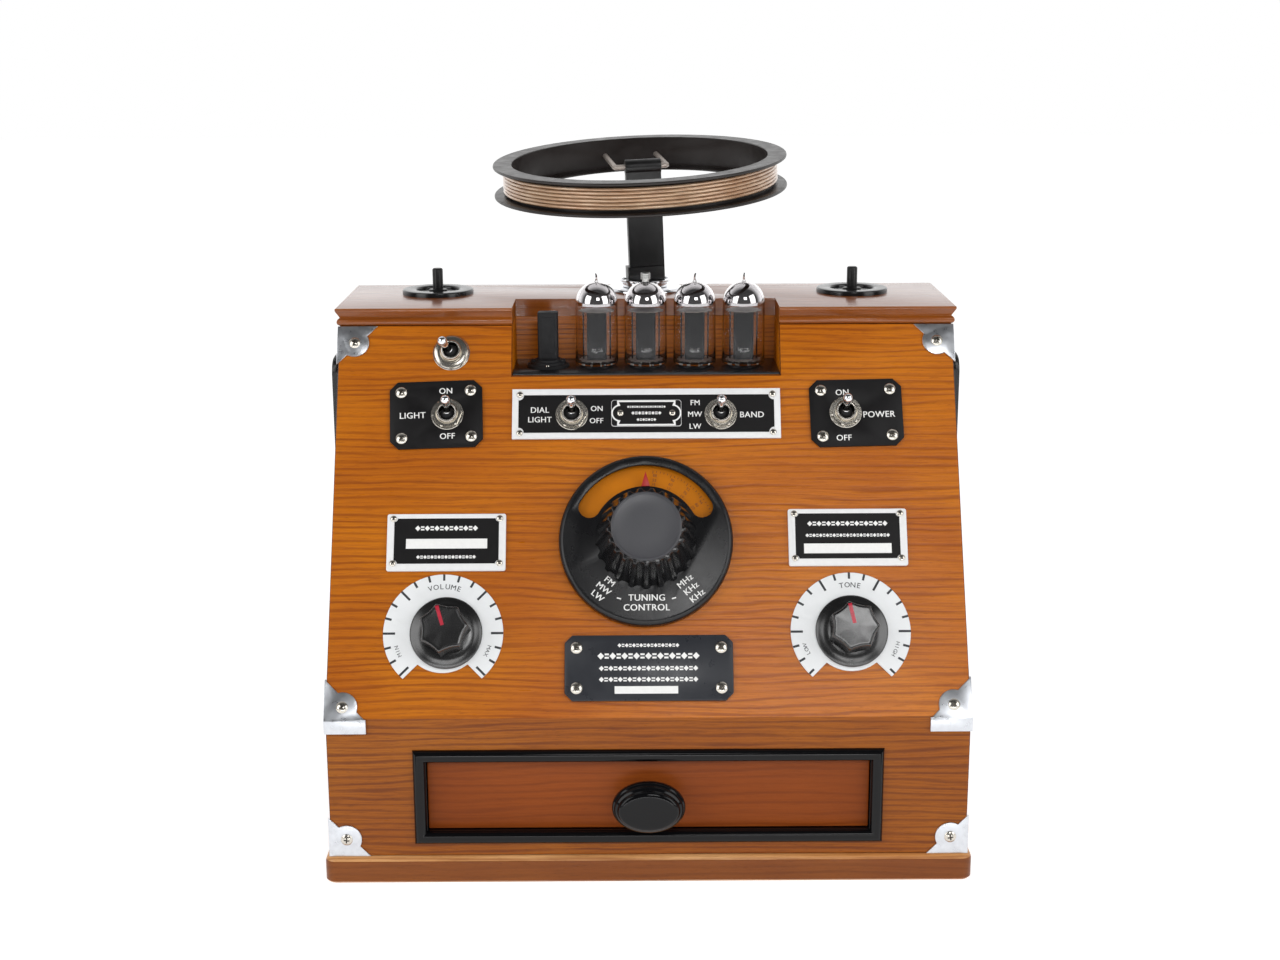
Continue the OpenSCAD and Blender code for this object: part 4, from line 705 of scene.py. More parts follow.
def make_screws():
    bm = bmesh.new()
    # The crosses stand at these angles in turn
    spins = itertools.cycle((47, 70, 25, 83, 5, 36, 58, 18, 64, 77, 40, 12))

    def put(matrix, small=False):
        screw(bm, matrix @ turn(next(spins)), small)

    back = shift(0, BACK_Y, 0) @ turn(-90, "X")
    upright = shift(0, FRONT_Y, 0) @ turn(90, "X")
    guard_top = SLOPE_LEN - GUARD_T * math.tan(math.radians(SLOPE_ANGLE)) - GUARD_SCREW
    for a in (-1, 1):
        for b in (-1, 1):
            for side in (-1, 1):
                plate = on_slope(side * PLATE_X, SWITCH_S, 0, PLATE_TURNS[side])
                put(plate @ shift(a * PLATE_SCREW[0], b * PLATE_SCREW[1], PLATE_T))
            put(on_slope(a * LONG_SCREW[0], SWITCH_S + b * LONG_SCREW[1], PLATE_T), True)
            put(on_slope(LOW_BADGE[0] + a * LOW_SCREW[0], LOW_BADGE[1] + b * LOW_SCREW[1], LOW_BADGE_T))
            for x, s in BADGES.values():
                put(on_slope(x + a * BADGE_SCREW[0], s + BADGE_RISE + b * BADGE_SCREW[1], PLATE_T), True)
        put(on_slope(a * CENTRE_SCREW_X, SWITCH_S, CENTRE_BADGE_H), True)
        screw_x = a * (BODY_W / 2 + GUARD_T - GUARD_SCREW)
        put(on_slope(screw_x, guard_top, GUARD_T))
        put(on_slope(screw_x, GUARD_SCREW + CREASE_RISE, GUARD_T))
        put(upright @ shift(screw_x, PLINTH_TOP + GUARD_SCREW, GUARD_T))
        for z in BACK_SCREW_ZS:
            put(back @ shift(a * BACK_SCREW_X, -z))
        put(back @ shift(a * RECESS_SCREW_X, -BACK_SCREW_ZS[-1]))
    make_piece("screw_heads", bm, [nickel, painted_slot_shade], ["screws"])


make_screws()

dressed("switch_plates_small", ["toggle_plates"], black_plate, 0.3)
dressed("switch_plate_long", ["switch_plate"], white_metal, 0.2)
dressed("badge_plates", ["side_badges"], white_metal, 0.2)
dressed("badge_plate_low", ["lower_badge"], badge_grey, 0.5)

# Thickness of the black fields and of the bands printed on them, and the height of the fields' top
FIELD_T, BAND_T = 0.12, 0.1
FIELD_TOP = PLATE_T - SINK + FIELD_T


def make_fields():
    """The black printed fields inside the plates' bright rims, and the small badge's."""
    bm = bmesh.new()
    floor = PLATE_T - SINK
    slab(bm, notched(138.0, 21.1, 2.9), 0.0, FIELD_T, 0, on_slope(0, SWITCH_S, floor))
    for x, s in BADGES.values():
        slab(bm, notched(55.6, 24.6, 1.9), 0.0, FIELD_T, 0, on_slope(x, s + BADGE_RISE, floor))
    slab(bm, rectangle(37.4, 14.4, 1.5), 0.0, 0.06, 0, on_slope(0, SWITCH_S, CENTRE_BADGE_H - 0.02))
    make_piece("printed_fields", bm, black_plate)


make_fields()


def cartouche(width, height, ear_x, ear_r):
    """Outline of a rectangle with a round ear at each end."""
    w, h = width / 2, height / 2
    start = math.degrees(math.asin(min(1, 4.6 / ear_r)))
    right = arc(ear_x, 0, ear_r, -start, 2 * start, 10)
    left = arc(-ear_x, 0, ear_r, 180 - start, 2 * start, 10)
    return [(-w, -h), (w, -h)] + right + [(w, h), (-w, h)] + left


def make_lettering():
    """White lettering on the black plates: what the switches do, and the badges' bands and ornaments."""
    bm = bmesh.new()
    for words, x, s, cap in (("DIAL", -57.4, 166.3, 3.1), ("LIGHT", -57.4, 160.9, 3.1),
                             ("ON", -26.8, 167.0, 2.9), ("OFF", -26.9, 160.2, 2.9),
                             ("FM", 26.4, 170.1, 2.9), ("MW", 26.3, 163.6, 2.9), ("LW", 26.4, 156.8, 2.9),
                             ("BAND", 57.0, 163.3, 3.2)):
        letter(bm, words, cap, on_slope(x, s, FIELD_TOP))
    for words, x, s, cap, side in (("ON", -108.5, 177.3, 3.2, -1), ("OFF", -107.1, 151.9, 3.2, -1),
                                   ("LIGHT", -126.0, 163.5, 3.4, -1), ("ON", 106.0, 175.5, 3.2, 1),
                                   ("OFF", 106.3, 150.0, 3.2, 1), ("POWER", 125.7, 163.1, 3.4, 1)):
        letter(bm, words, cap, on_slope(x, s, PLATE_T, PLATE_TURNS[side]))
    badge = on_slope(0, SWITCH_S, CENTRE_BADGE_H + 0.04)
    outer, inner = cartouche(31.6, 14.2, 14.0, 4.9), cartouche(29.8, 12.4, 14.0, 4.1)
    outline = ((outer, 0), (outer, INK), (inner, INK), (inner, 0))
    bridge(bm, [ring(bm, points, height, badge) for points, height in outline], True)
    for y, width, height in ((3.5, 22, 1.4), (0, 18, 2.0), (-3.7, 12, 1.7)):
        ornament(bm, 0, y, width, height, badge)
    ground, low = on_slope(0, 0, FIELD_TOP), on_slope(0, 0, LOW_BADGE_T)
    rows = {-1: ((101.0, 35.6, 3.0), (85.4, 33.3, 2.1)), 1: ((102.6, 45, 2.9), (96.2, 46.5, 2.1))}
    for side, (x, _) in BADGES.items():
        for s, width, height in rows[side]:
            ornament(bm, x, s, width, height, ground)
    for x, s, width in ((-106.3, 92.6, 43), (106.3, 89.1, 46.4)):
        bar(bm, x, s, width, 5.3, ground, BAND_T)
    bar(bm, -0.9, 14.2, 33, 3.9, low, BAND_T)
    for s, width, height in ((37.6, 34, 2.2), (32.0, 56, 3.7), (25.5, 54, 2.8), (19.7, 54, 2.8)):
        ornament(bm, 0.3, s, width, height, low)
    make_piece("plate_lettering", bm, white_ink, smooth=20)


make_lettering()

# Toggle switches: place on the slope, lean, nut's radius and the height of what the nut sits on
SWITCHES = {
    "power": (107.6, SWITCH_S, 0, 8.2, PLATE_T),
    "light": (-107.4, SWITCH_S, 0, 8.2, PLATE_T),
    "dial_light": (-40.2, SWITCH_S - 0.4, 0, 8.2, PLATE_T - SINK),
    "band": (40.2, SWITCH_S - 0.4, 0, 8.2, PLATE_T - SINK),
    "spare": (-106.0, 199.4, 62, 9.5, 0),
}
NUT_TURNS = {"power": 14, "light": 8, "dial_light": 0, "band": 4}
BUSH_R, BORE_R, BUSH_UP = 5.6, 4.4, 6.2
NUT_BORE = BUSH_R + 0.02
PIVOT_H, LEVER_TILT, LEVER_LEN = 1.6, 18, 13.5


def hexagon(radius, limit, steps):
    """Outline of a hexagon with its corners cut off at the limit's radius."""
    points = []
    for i in range(steps):
        a = 2 * math.pi * i / steps
        off = (a + math.pi / 6) % (math.pi / 3) - math.pi / 6
        reach = min(radius * math.cos(math.pi / 6) / math.cos(math.pi / 6 - abs(off)), limit)
        points.append((reach * math.cos(a), reach * math.sin(a)))
    return points


def make_switches():
    bodies, nuts = bmesh.new(), bmesh.new()
    steps = 96
    for name, (x, s, lean, nut_r, seat) in SWITCHES.items():
        place = on_slope(x, s, 0, lean)
        lathe(bodies, [(BUSH_R, -9.0), (BUSH_R, BUSH_UP - 0.7), (BUSH_R - 0.25, BUSH_UP - 0.2),
                       (BUSH_R - 0.5, BUSH_UP), (BORE_R + 0.25, BUSH_UP), (BORE_R + 0.08, BUSH_UP - 0.1),
                       (BORE_R, BUSH_UP - 0.4), (BORE_R, -2.6), (0, -2.6), (0, -9.0)], 48, matrix=place)
        slab(bodies, rectangle(13, 20, 0.8), -30, -8.2, 0.5, place)
        for pin in (-6, 0, 6):
            slab(bodies, rectangle(2.4, 0.9), -36, -29.9, 0, place @ shift(0, pin))
        washer_r, top = nut_r + 0.55, seat + 0.8
        lathe(nuts, [(NUT_BORE, seat), (washer_r, seat), (washer_r, seat + 0.55), (washer_r - 0.25, top),
                     (NUT_BORE, top)], 64, True, place)
        if name == "spare":
            lathe(nuts, [(NUT_BORE, top), (nut_r, top), (nut_r, top + 0.6), (nut_r - 0.5, top + 1.2),
                         (nut_r - 1.6, top + 1.65), (nut_r - 2.6, top + 1.8), (BUSH_R + 0.5, top + 1.8),
                         (NUT_BORE, top + 1.4)], 64, True, place)
            continue
        nut = [(hexagon(nut_r, nut_r - cut, steps), up)
               for cut, up in ((0.35, 0), (0, 0.25), (0, 1.35), (0.75, 1.8))]
        nut += [(circle(radius, steps), up)
                for radius, up in ((BUSH_R + 0.45, 1.8), (NUT_BORE, 1.5), (NUT_BORE, 0))]
        nut_place = place @ turn(NUT_TURNS[name])
        bridge(nuts, [ring(nuts, points, top + up, nut_place) for points, up in nut], True)
    make_piece("switch_bodies", bodies, nickel, ["toggle_switches"])
    make_piece("switch_nuts", nuts, nickel, ["toggle_nuts"], smooth=24)


def make_levers():
    ball, tip, neck = 3.9, 2.7, 1.95
    foot = [(r, h) for r, h in arc(0, 0, ball, -90, 150, 10) if r > 1.75 or h < 0]
    rod = [(1.7, 4.4), (1.85, 8.5), (2.05, LEVER_LEN - 2.6), (neck, LEVER_LEN - 2.1)]
    start = math.degrees(math.asin(neck / tip))
    head = arc(0, LEVER_LEN, tip, start - 90, 180 - start, 10)
    for name, (x, s, lean, _, _) in SWITCHES.items():
        bm = bmesh.new()
        lathe(bm, foot + rod + head, 40)
        for face in bm.faces:
            # The lever's ball inside the bush is black: painted shade in the bush's bore.
            face.material_index = 1 if face.calc_center_median().z < ball - 0.1 else 0
        make_piece(f"{name}_toggle", bm, [chrome, black_matt_and_bore_shade], [f"{name}_lever"],
                   on_slope(x, s, PIVOT_H, lean) @ turn(-LEVER_TILT, "X"), 40, f"{name}_switch")


make_switches()
make_levers()

# Volume and tone. The marks are by the degrees from the top, the knobs by their place across and their lean
CONTROL_S, CONTROL_FOOT, SCALE_T = 44.6, 1.5, 1.0
SCALE_XS = {"volume": -107.2, "tone": 106.4}
KNOBS = {"volume": (-105.55, 17), "tone": (106.8, 12)}
LONG_MARKS = {"volume": (45, 90, 135), "tone": (30, 90)}
ENDS = {"volume": ("MIN", "MAX"), "tone": ("LOW", "HIGH")}
MARK_OUT, MARK_IN, LONG_MARK_IN = 31.5, 28.1, 25.1
dressed("control_scale_plates", ["control_plates"], scale_white, 0.2)


def curved_word(bm, words, radius, middle, cap, matrix, weight, pitch):
    """Letters set one by one round an arc. middle is the angle clockwise from the top."""
    step = math.degrees(cap * pitch / radius)
    for i, char in enumerate(words):
        clockwise = middle + (i - (len(words) - 1) / 2) * step
        letter(bm, char, cap, matrix @ turn(-clockwise) @ shift(0, radius), weight)


def make_control_marks():
    bm = bmesh.new()
    for name, x in SCALE_XS.items():
        face = on_slope(x, CONTROL_S, SCALE_T)
        for clockwise in range(-135, 136, 15):
            inner = LONG_MARK_IN if abs(clockwise) in LONG_MARKS[name] else MARK_IN
            bar(bm, 0, (inner + MARK_OUT) / 2, 1.2, MARK_OUT - inner, face @ turn(-clockwise), 0.05)
        curved_word(bm, name.upper(), 24.9, 1.0, 2.7, face, 0.01, 1.14)
        for word, middle in zip(ENDS[name], (-112, 112)):
            curved_word(bm, word, 25.3, middle, 2.0, face, 0.0, 1.05)
    make_piece("control_scale_marks", bm, dark_ink, smooth=20)


make_control_marks()

KNOB_TOP, GRIP_SIDES = 17.8, 7
GRIP_R, GRIP_LOW, GRIP_TAPER = 14.2, 3.3, 1.4
# A flank's hollow: the distance of its centre from the knob's axis, and its radius
HOLLOW_AT, HOLLOW_R = 32.5, 21.3


def grip_radius(angle, limit):
    """Radius of the grip with its hollow flanks, at degrees from the pointer."""
    off = math.radians((angle % (360 / GRIP_SIDES)) - 180 / GRIP_SIDES)
    side = HOLLOW_AT * math.sin(off)
    if abs(side) >= HOLLOW_R:
        return limit
    return min(limit, HOLLOW_AT * math.cos(off) - math.sqrt(HOLLOW_R ** 2 - side ** 2))


def make_control_knob(name, x, lean):
    bm = bmesh.new()
    lathe(bm, [(0, 0), (18.7, 0), (19.0, 0.3), (19.0, 1.1), (18.85, 1.4), (18.4, 1.65), (17.2, 2.05),
               (15.6, 2.6), (14.3, 3.3), (11.5, 3.35), (0, 3.35)], 96)
    steps = GRIP_SIDES * 30
    insets = {KNOB_TOP - 0.8: 0.06, KNOB_TOP - 0.4: 0.22, KNOB_TOP - 0.15: 0.5, KNOB_TOP: 0.85}

    def grip(h):
        limit = GRIP_R - GRIP_TAPER * (h - GRIP_LOW) / (KNOB_TOP - GRIP_LOW)
        points = []
        for angle in (360 * i / steps for i in range(steps)):
            radius = grip_radius(angle, limit) - insets.get(h, 0.0)
            points.append((-radius * math.sin(math.radians(angle)), radius * math.cos(math.radians(angle))))
        return points

    shaped(bm, grip, [3.25, 3.5, 6, 9, 12, 15] + list(insets), top=False)
    edge = grip(KNOB_TOP)
    crown = [([(px * k, py * k) for px, py in edge], drop) for k, drop in ((1, 0), (0.9, 0.06), (0.5, 0.2))]
    crown.append(([(0, 0)], 0.24))
    bridge(bm, [ring(bm, points, KNOB_TOP - drop) for points, drop in crown])
    bmesh.ops.remove_doubles(bm, verts=bm.verts, dist=1e-4)
    matrix = on_slope(x, CONTROL_S, CONTROL_FOOT, lean)
    make_piece(f"{name}_grip", bm, knob_black, [f"{name}_knob"], matrix, 35, name)
    line = bmesh.new()
    path = [(1.2, KNOB_TOP - 0.22, 0.9), (6.0, KNOB_TOP - 0.16, 0.95), (10.4, KNOB_TOP - 0.03, 0.95),
            (11.8, KNOB_TOP - 0.06, 1.0), (12.5, KNOB_TOP - 0.9, 0.9), (13.0, 13.0, 0.8)]
    for lift in (0.08, -0.3):
        row = [[line.verts.new((sx * half, r, h + lift)) for sx in (-1, 1)] for r, h, half in path]
        for low, high in zip(row, row[1:]):
            line.faces.new((low[0], low[1], high[1], high[0]))
    make_piece(f"{name}_pointer", line, red_paint, (), matrix, 60, name)


for control, (control_x, control_lean) in KNOBS.items():
    make_control_knob(control, control_x, control_lean)

# Tuning dial
DIAL_X, DIAL_S, DIAL_H, SCALE_TOP = -0.65, 93.49, 7.0, 2.4
KNOB_FOOT_R, KNOB_TOP_R, KNOB_H, KNOB_ROUND = 27.0, 20.4, 28.3, 0.9
FLUTES, FLUTE_STEPS, FLUTE_DEPTH, FLUTE_SHARE = 21, 14, 1.8, 0.66
# Rows of numbers by their radius, in steps round the dial
NUMBERS = {36.0: ("88", "90", "92", "94", "96", "98", "100", "104", "108"),
           33.4: ("53", "60", "70", "80", "100", "120", "140", "150", "160"),
           30.9: ("15", "17", "19", "20", "22", "24", "25", "26", "28")}
FIRST_NUMBER, NUMBER_STEP = 8, 15.5
dressed("dial_housing", ["dial_rim"], dial_black, 0.45, angle=40)
dressed("dial_pointer", ["dial_cursor"], red, 0.15)


def make_dial_scale():
    disc, marks = bmesh.new(), bmesh.new()
    lathe(disc, [(3.2, 0), (43.2, 0), (43.2, 1.0), (43.0, 1.2), (3.2, 1.2)], 96, True)
    make_piece("dial_disc", disc, amber, ["dial_scale"], on_slope(DIAL_X, DIAL_S, 1.2),
               body="tuning")
    face = on_slope(DIAL_X, DIAL_S, SCALE_TOP)
    for i in range(46):
        length = 1.0 if i % 5 else 1.8
        bar(marks, 0, 38.6 - length / 2, 0.28, length, face @ turn(-(6 + 3 * i)), 0.04)
    for radius, numbers in NUMBERS.items():
        for i, number in enumerate(numbers):
            place = face @ turn(-(FIRST_NUMBER + NUMBER_STEP * i)) @ shift(0, radius)
            letter(marks, number, 1.5, place, 0.0)
    make_piece("dial_numbers", marks, brown_ink, smooth=20, body="tuning")


def make_dial_lettering():
    bm = bmesh.new()
    face = on_slope(0, DIAL_S + 1.41, DIAL_H)
    for spread, words in ((-39.2, ("FM", "MW", "LW")), (39.2, ("MHz", "KHz", "KHz"))):
        for word, radius in zip(words, (31.2, 36.2, 41.2)):
            letter(bm, word, 3.2, face @ turn(spread) @ shift(0, -radius), 0.045)
    for word, y in (("TUNING", -32.9), ("CONTROL", -38.1)):
        letter(bm, word, 3.4, face @ shift(-0.5, y), 0.045)
    for side in (-1, 1):
        bar(bm, 0, 0, 2.3, 0.7, face @ shift(side * 14.4 - 0.6, -33.3) @ turn(side * 16))
    make_piece("dial_lettering", bm, white_ink, smooth=20)


def make_tuning_knob():
    """A tapered knob with hollow flutes and a grey cap."""
    steps = FLUTES * FLUTE_STEPS

    def outline(h):
        radius = KNOB_FOOT_R + (KNOB_TOP_R - KNOB_FOOT_R) * h / KNOB_H
        over = max(0.0, h - KNOB_H + KNOB_ROUND)
        radius -= max(0.0, KNOB_ROUND - math.sqrt(max(0.0, KNOB_ROUND ** 2 - over ** 2)))
        points = []
        for i in range(steps):
            phase = abs((i % FLUTE_STEPS) / FLUTE_STEPS - 0.5) * 2
            groove = math.sqrt(max(0.0, 1 - (phase / FLUTE_SHARE) ** 2))
            a = math.pi / 2 + 2 * math.pi * (i - FLUTE_STEPS / 2) / steps
            r = radius - FLUTE_DEPTH * groove
            points.append((r * math.cos(a), r * math.sin(a)))
        return points

    bm, cap = bmesh.new(), bmesh.new()
    heights = [0, 4, 8, 12, 16, 20, 24] + [KNOB_H - drop for drop in (KNOB_ROUND, 0.6, 0.3, 0.1, 0)]
    shaped(bm, outline, heights)
    foot = DIAL_H + 0.5
    make_piece("tuning_grip", bm, black_gloss, ["tuning_knob"], on_slope(DIAL_X, DIAL_S, foot),
               38, "tuning")
    lathe(cap, [(0, 0), (18.2, 0), (18.2, 0.8), (18.05, 1.05), (17.7, 1.2), (17.2, 1.2), (16.9, 1.05),
                (16.4, 0.98), (9, 1.0), (0, 1.02)], 96)
    make_piece("tuning_grip_cap", cap, cap_grey, ["tuning_cap"],
               on_slope(DIAL_X, DIAL_S, foot + KNOB_H), body="tuning")


make_dial_scale()
make_dial_lettering()
make_tuning_knob()

# Valves. The second has a metal cap and no glass tip
SHELF_Z, VALVE_Y, VALVE_R, VALVE_TOP, FOOT_R, GLASS_T = 255.7, 15.85, 11.6, 47.0, 11.85, 0.8
VALVE_XS = (-27, 0, 27, 54)
CAPPED = 2
GETTER_LEANS = {1: -10, 3: 14, 4: 6}


def rod(bm, radius, low, high, matrix, steps=12, index=1):
    lathe(bm, [(0, low), (radius, low), (radius, high), (0, high + 0.1)], steps, matrix=matrix, index=index)


def make_valve(number, x, metal, discs):
    """One valve's glass and silvering as pieces. Its metal and mica go into meshes for all four."""
    place = shift(x, VALVE_Y, SHELF_Z)
    spring, inner_r, inner_foot = VALVE_TOP - VALVE_R, VALVE_R - GLASS_T, FOOT_R - GLASS_T
    outer = [(0, 1.2), (9.6, 1.2), (10.9, 1.4), (11.6, 2.0), (FOOT_R, 3.0), (FOOT_R - 0.05, 12)]
    inner = [(0, 2.6), (9.0, 2.5), (10.4, 2.8), (inner_foot, 4.0), (inner_foot - 0.05, 12)]
    shell = bmesh.new()
    for skin, radius in ((outer, VALVE_R), (inner, inner_r)):
        lathe(shell, skin + arc(0, spring, radius, 0, 90, 14), 64, matrix=place)
    bmesh.ops.recalc_face_normals(shell, faces=shell.faces)
    shell.faces.ensure_lookup_table()
    bmesh.ops.reverse_faces(shell, faces=shell.faces[len(shell.faces) // 2:])
    if number == CAPPED:
        lathe(metal, [(0, 46.5), (1.9, 46.5), (1.9, 48.0), (2.6, 48.2), (2.6, 49.0), (2.45, 49.2),
                      (2.6, 49.4), (2.6, 50.2), (2.45, 50.4), (2.6, 50.6), (2.6, 51.4), (2.3, 51.8),
                      (0, 51.8)], 32, matrix=place)
    else:
        lathe(shell, [(0, 46.8), (1.2, 46.8), (0.8, 47.4), (0.6, 48.4), (0.5, 49.8), (0.2, 50.9),
                      (0, 51.1)], 24, matrix=place)
        rod(metal, 0.32, 0, 2.0, place @ shift(0, 0, 49.4) @ turn(GETTER_LEANS[number], "Y"))
    for vert in shell.verts:
        vert.co = vert.co * MM
    link_piece(f"valve_{number}_glass", shell, glass, [f"valve_{number}"], 50)
    silver = bmesh.new()
    lathe(silver, [(inner_r - 0.06, spring - 1)] + arc(0, spring, inner_r - 0.06, 0, 90, 14), 64,
          matrix=place)
    make_piece(f"valve_{number}_silver", silver, mirror, smooth=60)
    ribs = [(-5.4, -2.6), (-4.7, -3.8), (4.7, -3.8), (5.4, -2.6), (5.4, 2.6), (4.7, 3.8), (-4.7, 3.8),
            (-5.4, 2.6)]
    slab(metal, ribs, 2.9, 31.0, 0.4, place, 1)
    for rib in (-2.6, 2.6):
        slab(metal, rectangle(1.3, 0.5), 3.6, 30.4, 0.2, place @ shift(rib, -3.9), 1)
    for support in (-7.4, 7.4):
        rod(metal, 0.4, 3.0, 30.4, place @ shift(support))
    teeth = [(8.9 * px if i % 6 > 2 else 9.9 * px, 8.9 * py if i % 6 > 2 else 9.9 * py)
             for i, (px, py) in enumerate(circle(1, 72))]
    for z in (3.4, 30.9):
        slab(discs, teeth, z, z + 0.3, 0, place)
    for i in range(7):
        rod(metal, 0.4, 0.9, 3.4, place @ turn(20 + 360 / 8 * i) @ shift(6.2), 10, 0)


def make_valves():
    metal, discs = bmesh.new(), bmesh.new()
    for number, x in enumerate(VALVE_XS, 1):
        make_valve(number, x, metal, discs)
    make_piece("valve_metal", metal, [steel, anode], ["valve_electrodes"])
    make_piece("valve_micas", discs, mica)


def make_shelf():
    low, high = (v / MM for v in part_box("valve_shelf"))
    bm = bmesh.new()
    slab(bm, rectangle(high.x - low.x, high.y - low.y, 0.3, 2), low.z, SHELF_Z, 0.5,
         shift((low.x + high.x) / 2, (low.y + high.y) / 2))
    for x in VALVE_XS:
        lathe(bm, [(0, 0), (9.2, 0), (9.2, 0.6), (8.9, 0.9), (0, 0.9)], 48, matrix=shift(x, VALVE_Y, SHELF_Z))
    make_piece("valve_deck", bm, black_gloss, ["valve_shelf"])


def make_can():
    bm = bmesh.new()
    place = shift(-54, VALVE_Y, SHELF_Z)
    lathe(bm, [(0, 0), (11.7, 0), (11.7, 1.0), (11.2, 1.5), (9.4, 1.7), (9.2, 2.3), (8.8, 2.8), (7.6, 3.2),
               (7.4, 4.2), (0, 4.2)], 48, matrix=place)
    for side in (-1, 1):
        slab(bm, rectangle(4.2, 6.0, 1.4), 1.2, 3.9, 0.5, place @ shift(side * 7.4))
    body = place @ shift(0, 1.2, 4.2)
    slab(bm, rectangle(11.2, 8, 1.2), 0, 26, 0.7, body)
    slab(bm, rectangle(7.4, 20.0, 0.8), -0.3, 0.3, 0.1, body @ shift(0, -4.0, 13.4) @ turn(90, "X"))
    lathe(bm, [(0, 0), (1.2, 0), (1.1, 0.6), (0, 0.8)], 20, matrix=place @ shift(0, -9.3, 1.5), index=1)
    make_piece("crystal_holder", bm, [black_matt_and_bore_shade, nickel], ["crystal_can"])


make_valves()
make_shelf()
make_can()

TERMINAL_X, TERMINAL_Y, FLANGE_R, FLANGE_H, FLANGE_ROUND = 118.9, 64.0, 20.3, 2.6, 0.9


def make_terminals():
    flanges, pegs = bmesh.new(), bmesh.new()
    flange = [(FLANGE_R, 0)] + arc(FLANGE_R - FLANGE_ROUND, FLANGE_H - FLANGE_ROUND, FLANGE_ROUND, 0, 90, 4)
    flange += [(13.4, 2.6), (12.8, 2.45), (12.4, 2.1), (12.2, 1.8), (12.2, 1.0), (0, 1.0), (0, 0)]
    for side in (-1, 1):
        place = shift(side * TERMINAL_X, TERMINAL_Y, LID_Z)
        lathe(flanges, flange, 96, matrix=place)
        lathe(pegs, [(0, 1.0), (5.2, 1.0), (5.2, 2.0), (4.9, 2.4), (3.2, 2.4), (3.0, 2.7), (3.0, 13.6),
                     (2.8, 14.0), (2.3, 14.35), (0, 14.4)], 40, matrix=place)
    make_piece("terminal_rings", flanges, black_gloss, ["terminal_flanges"], smooth=40)
    make_piece("terminal_posts", pegs, black_satin, ["terminal_pegs"])


make_terminals()

# Aerial
MAST_Y, TABLE_Z, COLLAR_Z, HINGE_Z = 74.8, 292.0, 296.2, 360.4
MAST_TURN = 8
MAST = shift(0, MAST_Y, COLLAR_Z) @ turn(-2.1, "Y") @ turn(MAST_TURN)
LOOP = MAST @ shift(0, 0, HINGE_Z - COLLAR_Z) @ turn(4.9, "X") @ shift(-4.1, -26.6, 0.5) @ turn(-0.8, "Y")


def make_aerial_foot():
    base, table = bmesh.new(), bmesh.new()
    lathe(base, [(4.1, 0), (21.6, 0), (22, 0.4), (22, 1.0), (21.7, 1.5), (21.1, 1.9), (20.2, 2.0),
                 (4.1, 2.0)], 96, True, shift(0, MAST_Y, LID_Z))
    make_piece("aerial_disc", base, chrome, ["aerial_base"])
    place = shift(0, MAST_Y, TABLE_Z)
    lathe(table, [(0, 0), (13.0, 0), (13.2, 0.3), (13.2, 2.4), (14.3, 2.7), (14.6, 3.1), (14.6, 3.8),
                  (14.2, 4.15), (13.4, 4.2), (0, 4.2)], 96, matrix=place)
    lathe(table, [(0, -15.3), (8, -15.3), (8, -12.0), (4, -12.0), (4, 0.1), (0, 0.1)], 48, matrix=place)
    for side in (-1, 1):
        screw(table, shift(0, MAST_Y, COLLAR_Z) @ turn(MAST_TURN) @ shift(side * 12.2) @ Matrix.Scale(0.5, 4))
    make_piece("aerial_rotor", table, [chrome, painted_slot_shade], ["aerial_turntable"], body="mast")


make_aerial_foot()
dressed("aerial_post", ["aerial_mast"], black_satin, 0.45, body="mast")
dressed("loop_hanger", ["loop_bail"], tinned, 0, body="loop")

LOOP_R, LOOP_HOLE_R, LOOP_LIP_R, HUB_R, LOOP_H, FLANGE_T = 81.7, 71.3, 64.0, 73.9, 18.1, 1.6
WIND_R, WIRE_PITCH, WIRE_TURNS, WIRE_R = 75.625, 2.0, 6, 0.94
WIND_END = WIRE_PITCH * WIRE_TURNS / 2


def make_loop():
    """The former: two flanges on a hub, and a peg at each end of the wire."""
    bm = bmesh.new()
    half = LOOP_H / 2
    inner = half - FLANGE_T
    flange = [(LOOP_R - 0.5, -half), (LOOP_R - 0.12, -half + 0.3), (LOOP_R, -half + 0.8),
              (LOOP_R - 0.12, -inner - 0.3), (LOOP_R - 0.5, -inner), (HUB_R, -inner + 0.1)]
    upper = [(r, -h) for r, h in reversed(flange)] + [(LOOP_HOLE_R + 0.4, half)]
    lip = [(LOOP_LIP_R + 0.4, 1.0 - half), (LOOP_LIP_R, 0.6 - half), (LOOP_LIP_R + 0.4, -half)]
    hole = [(LOOP_HOLE_R, half - 0.4), (LOOP_HOLE_R, 1.2 - half)]
    lathe(bm, lip[1:] + flange + upper + hole + lip[:1], 160, True, LOOP)
    for x, z in ((4.6, -WIND_END), (-4.9, WIND_END)):
        peg = [(px + x, py + 75.2) for px, py in rectangle(5.4, 2.8, 0.5)]
        slab(bm, peg, z - 0.9, z + 0.9, 0.3, LOOP)
    make_piece("loop_spool", bm, loop_black, ["loop_former"], smooth=30, body="loop")


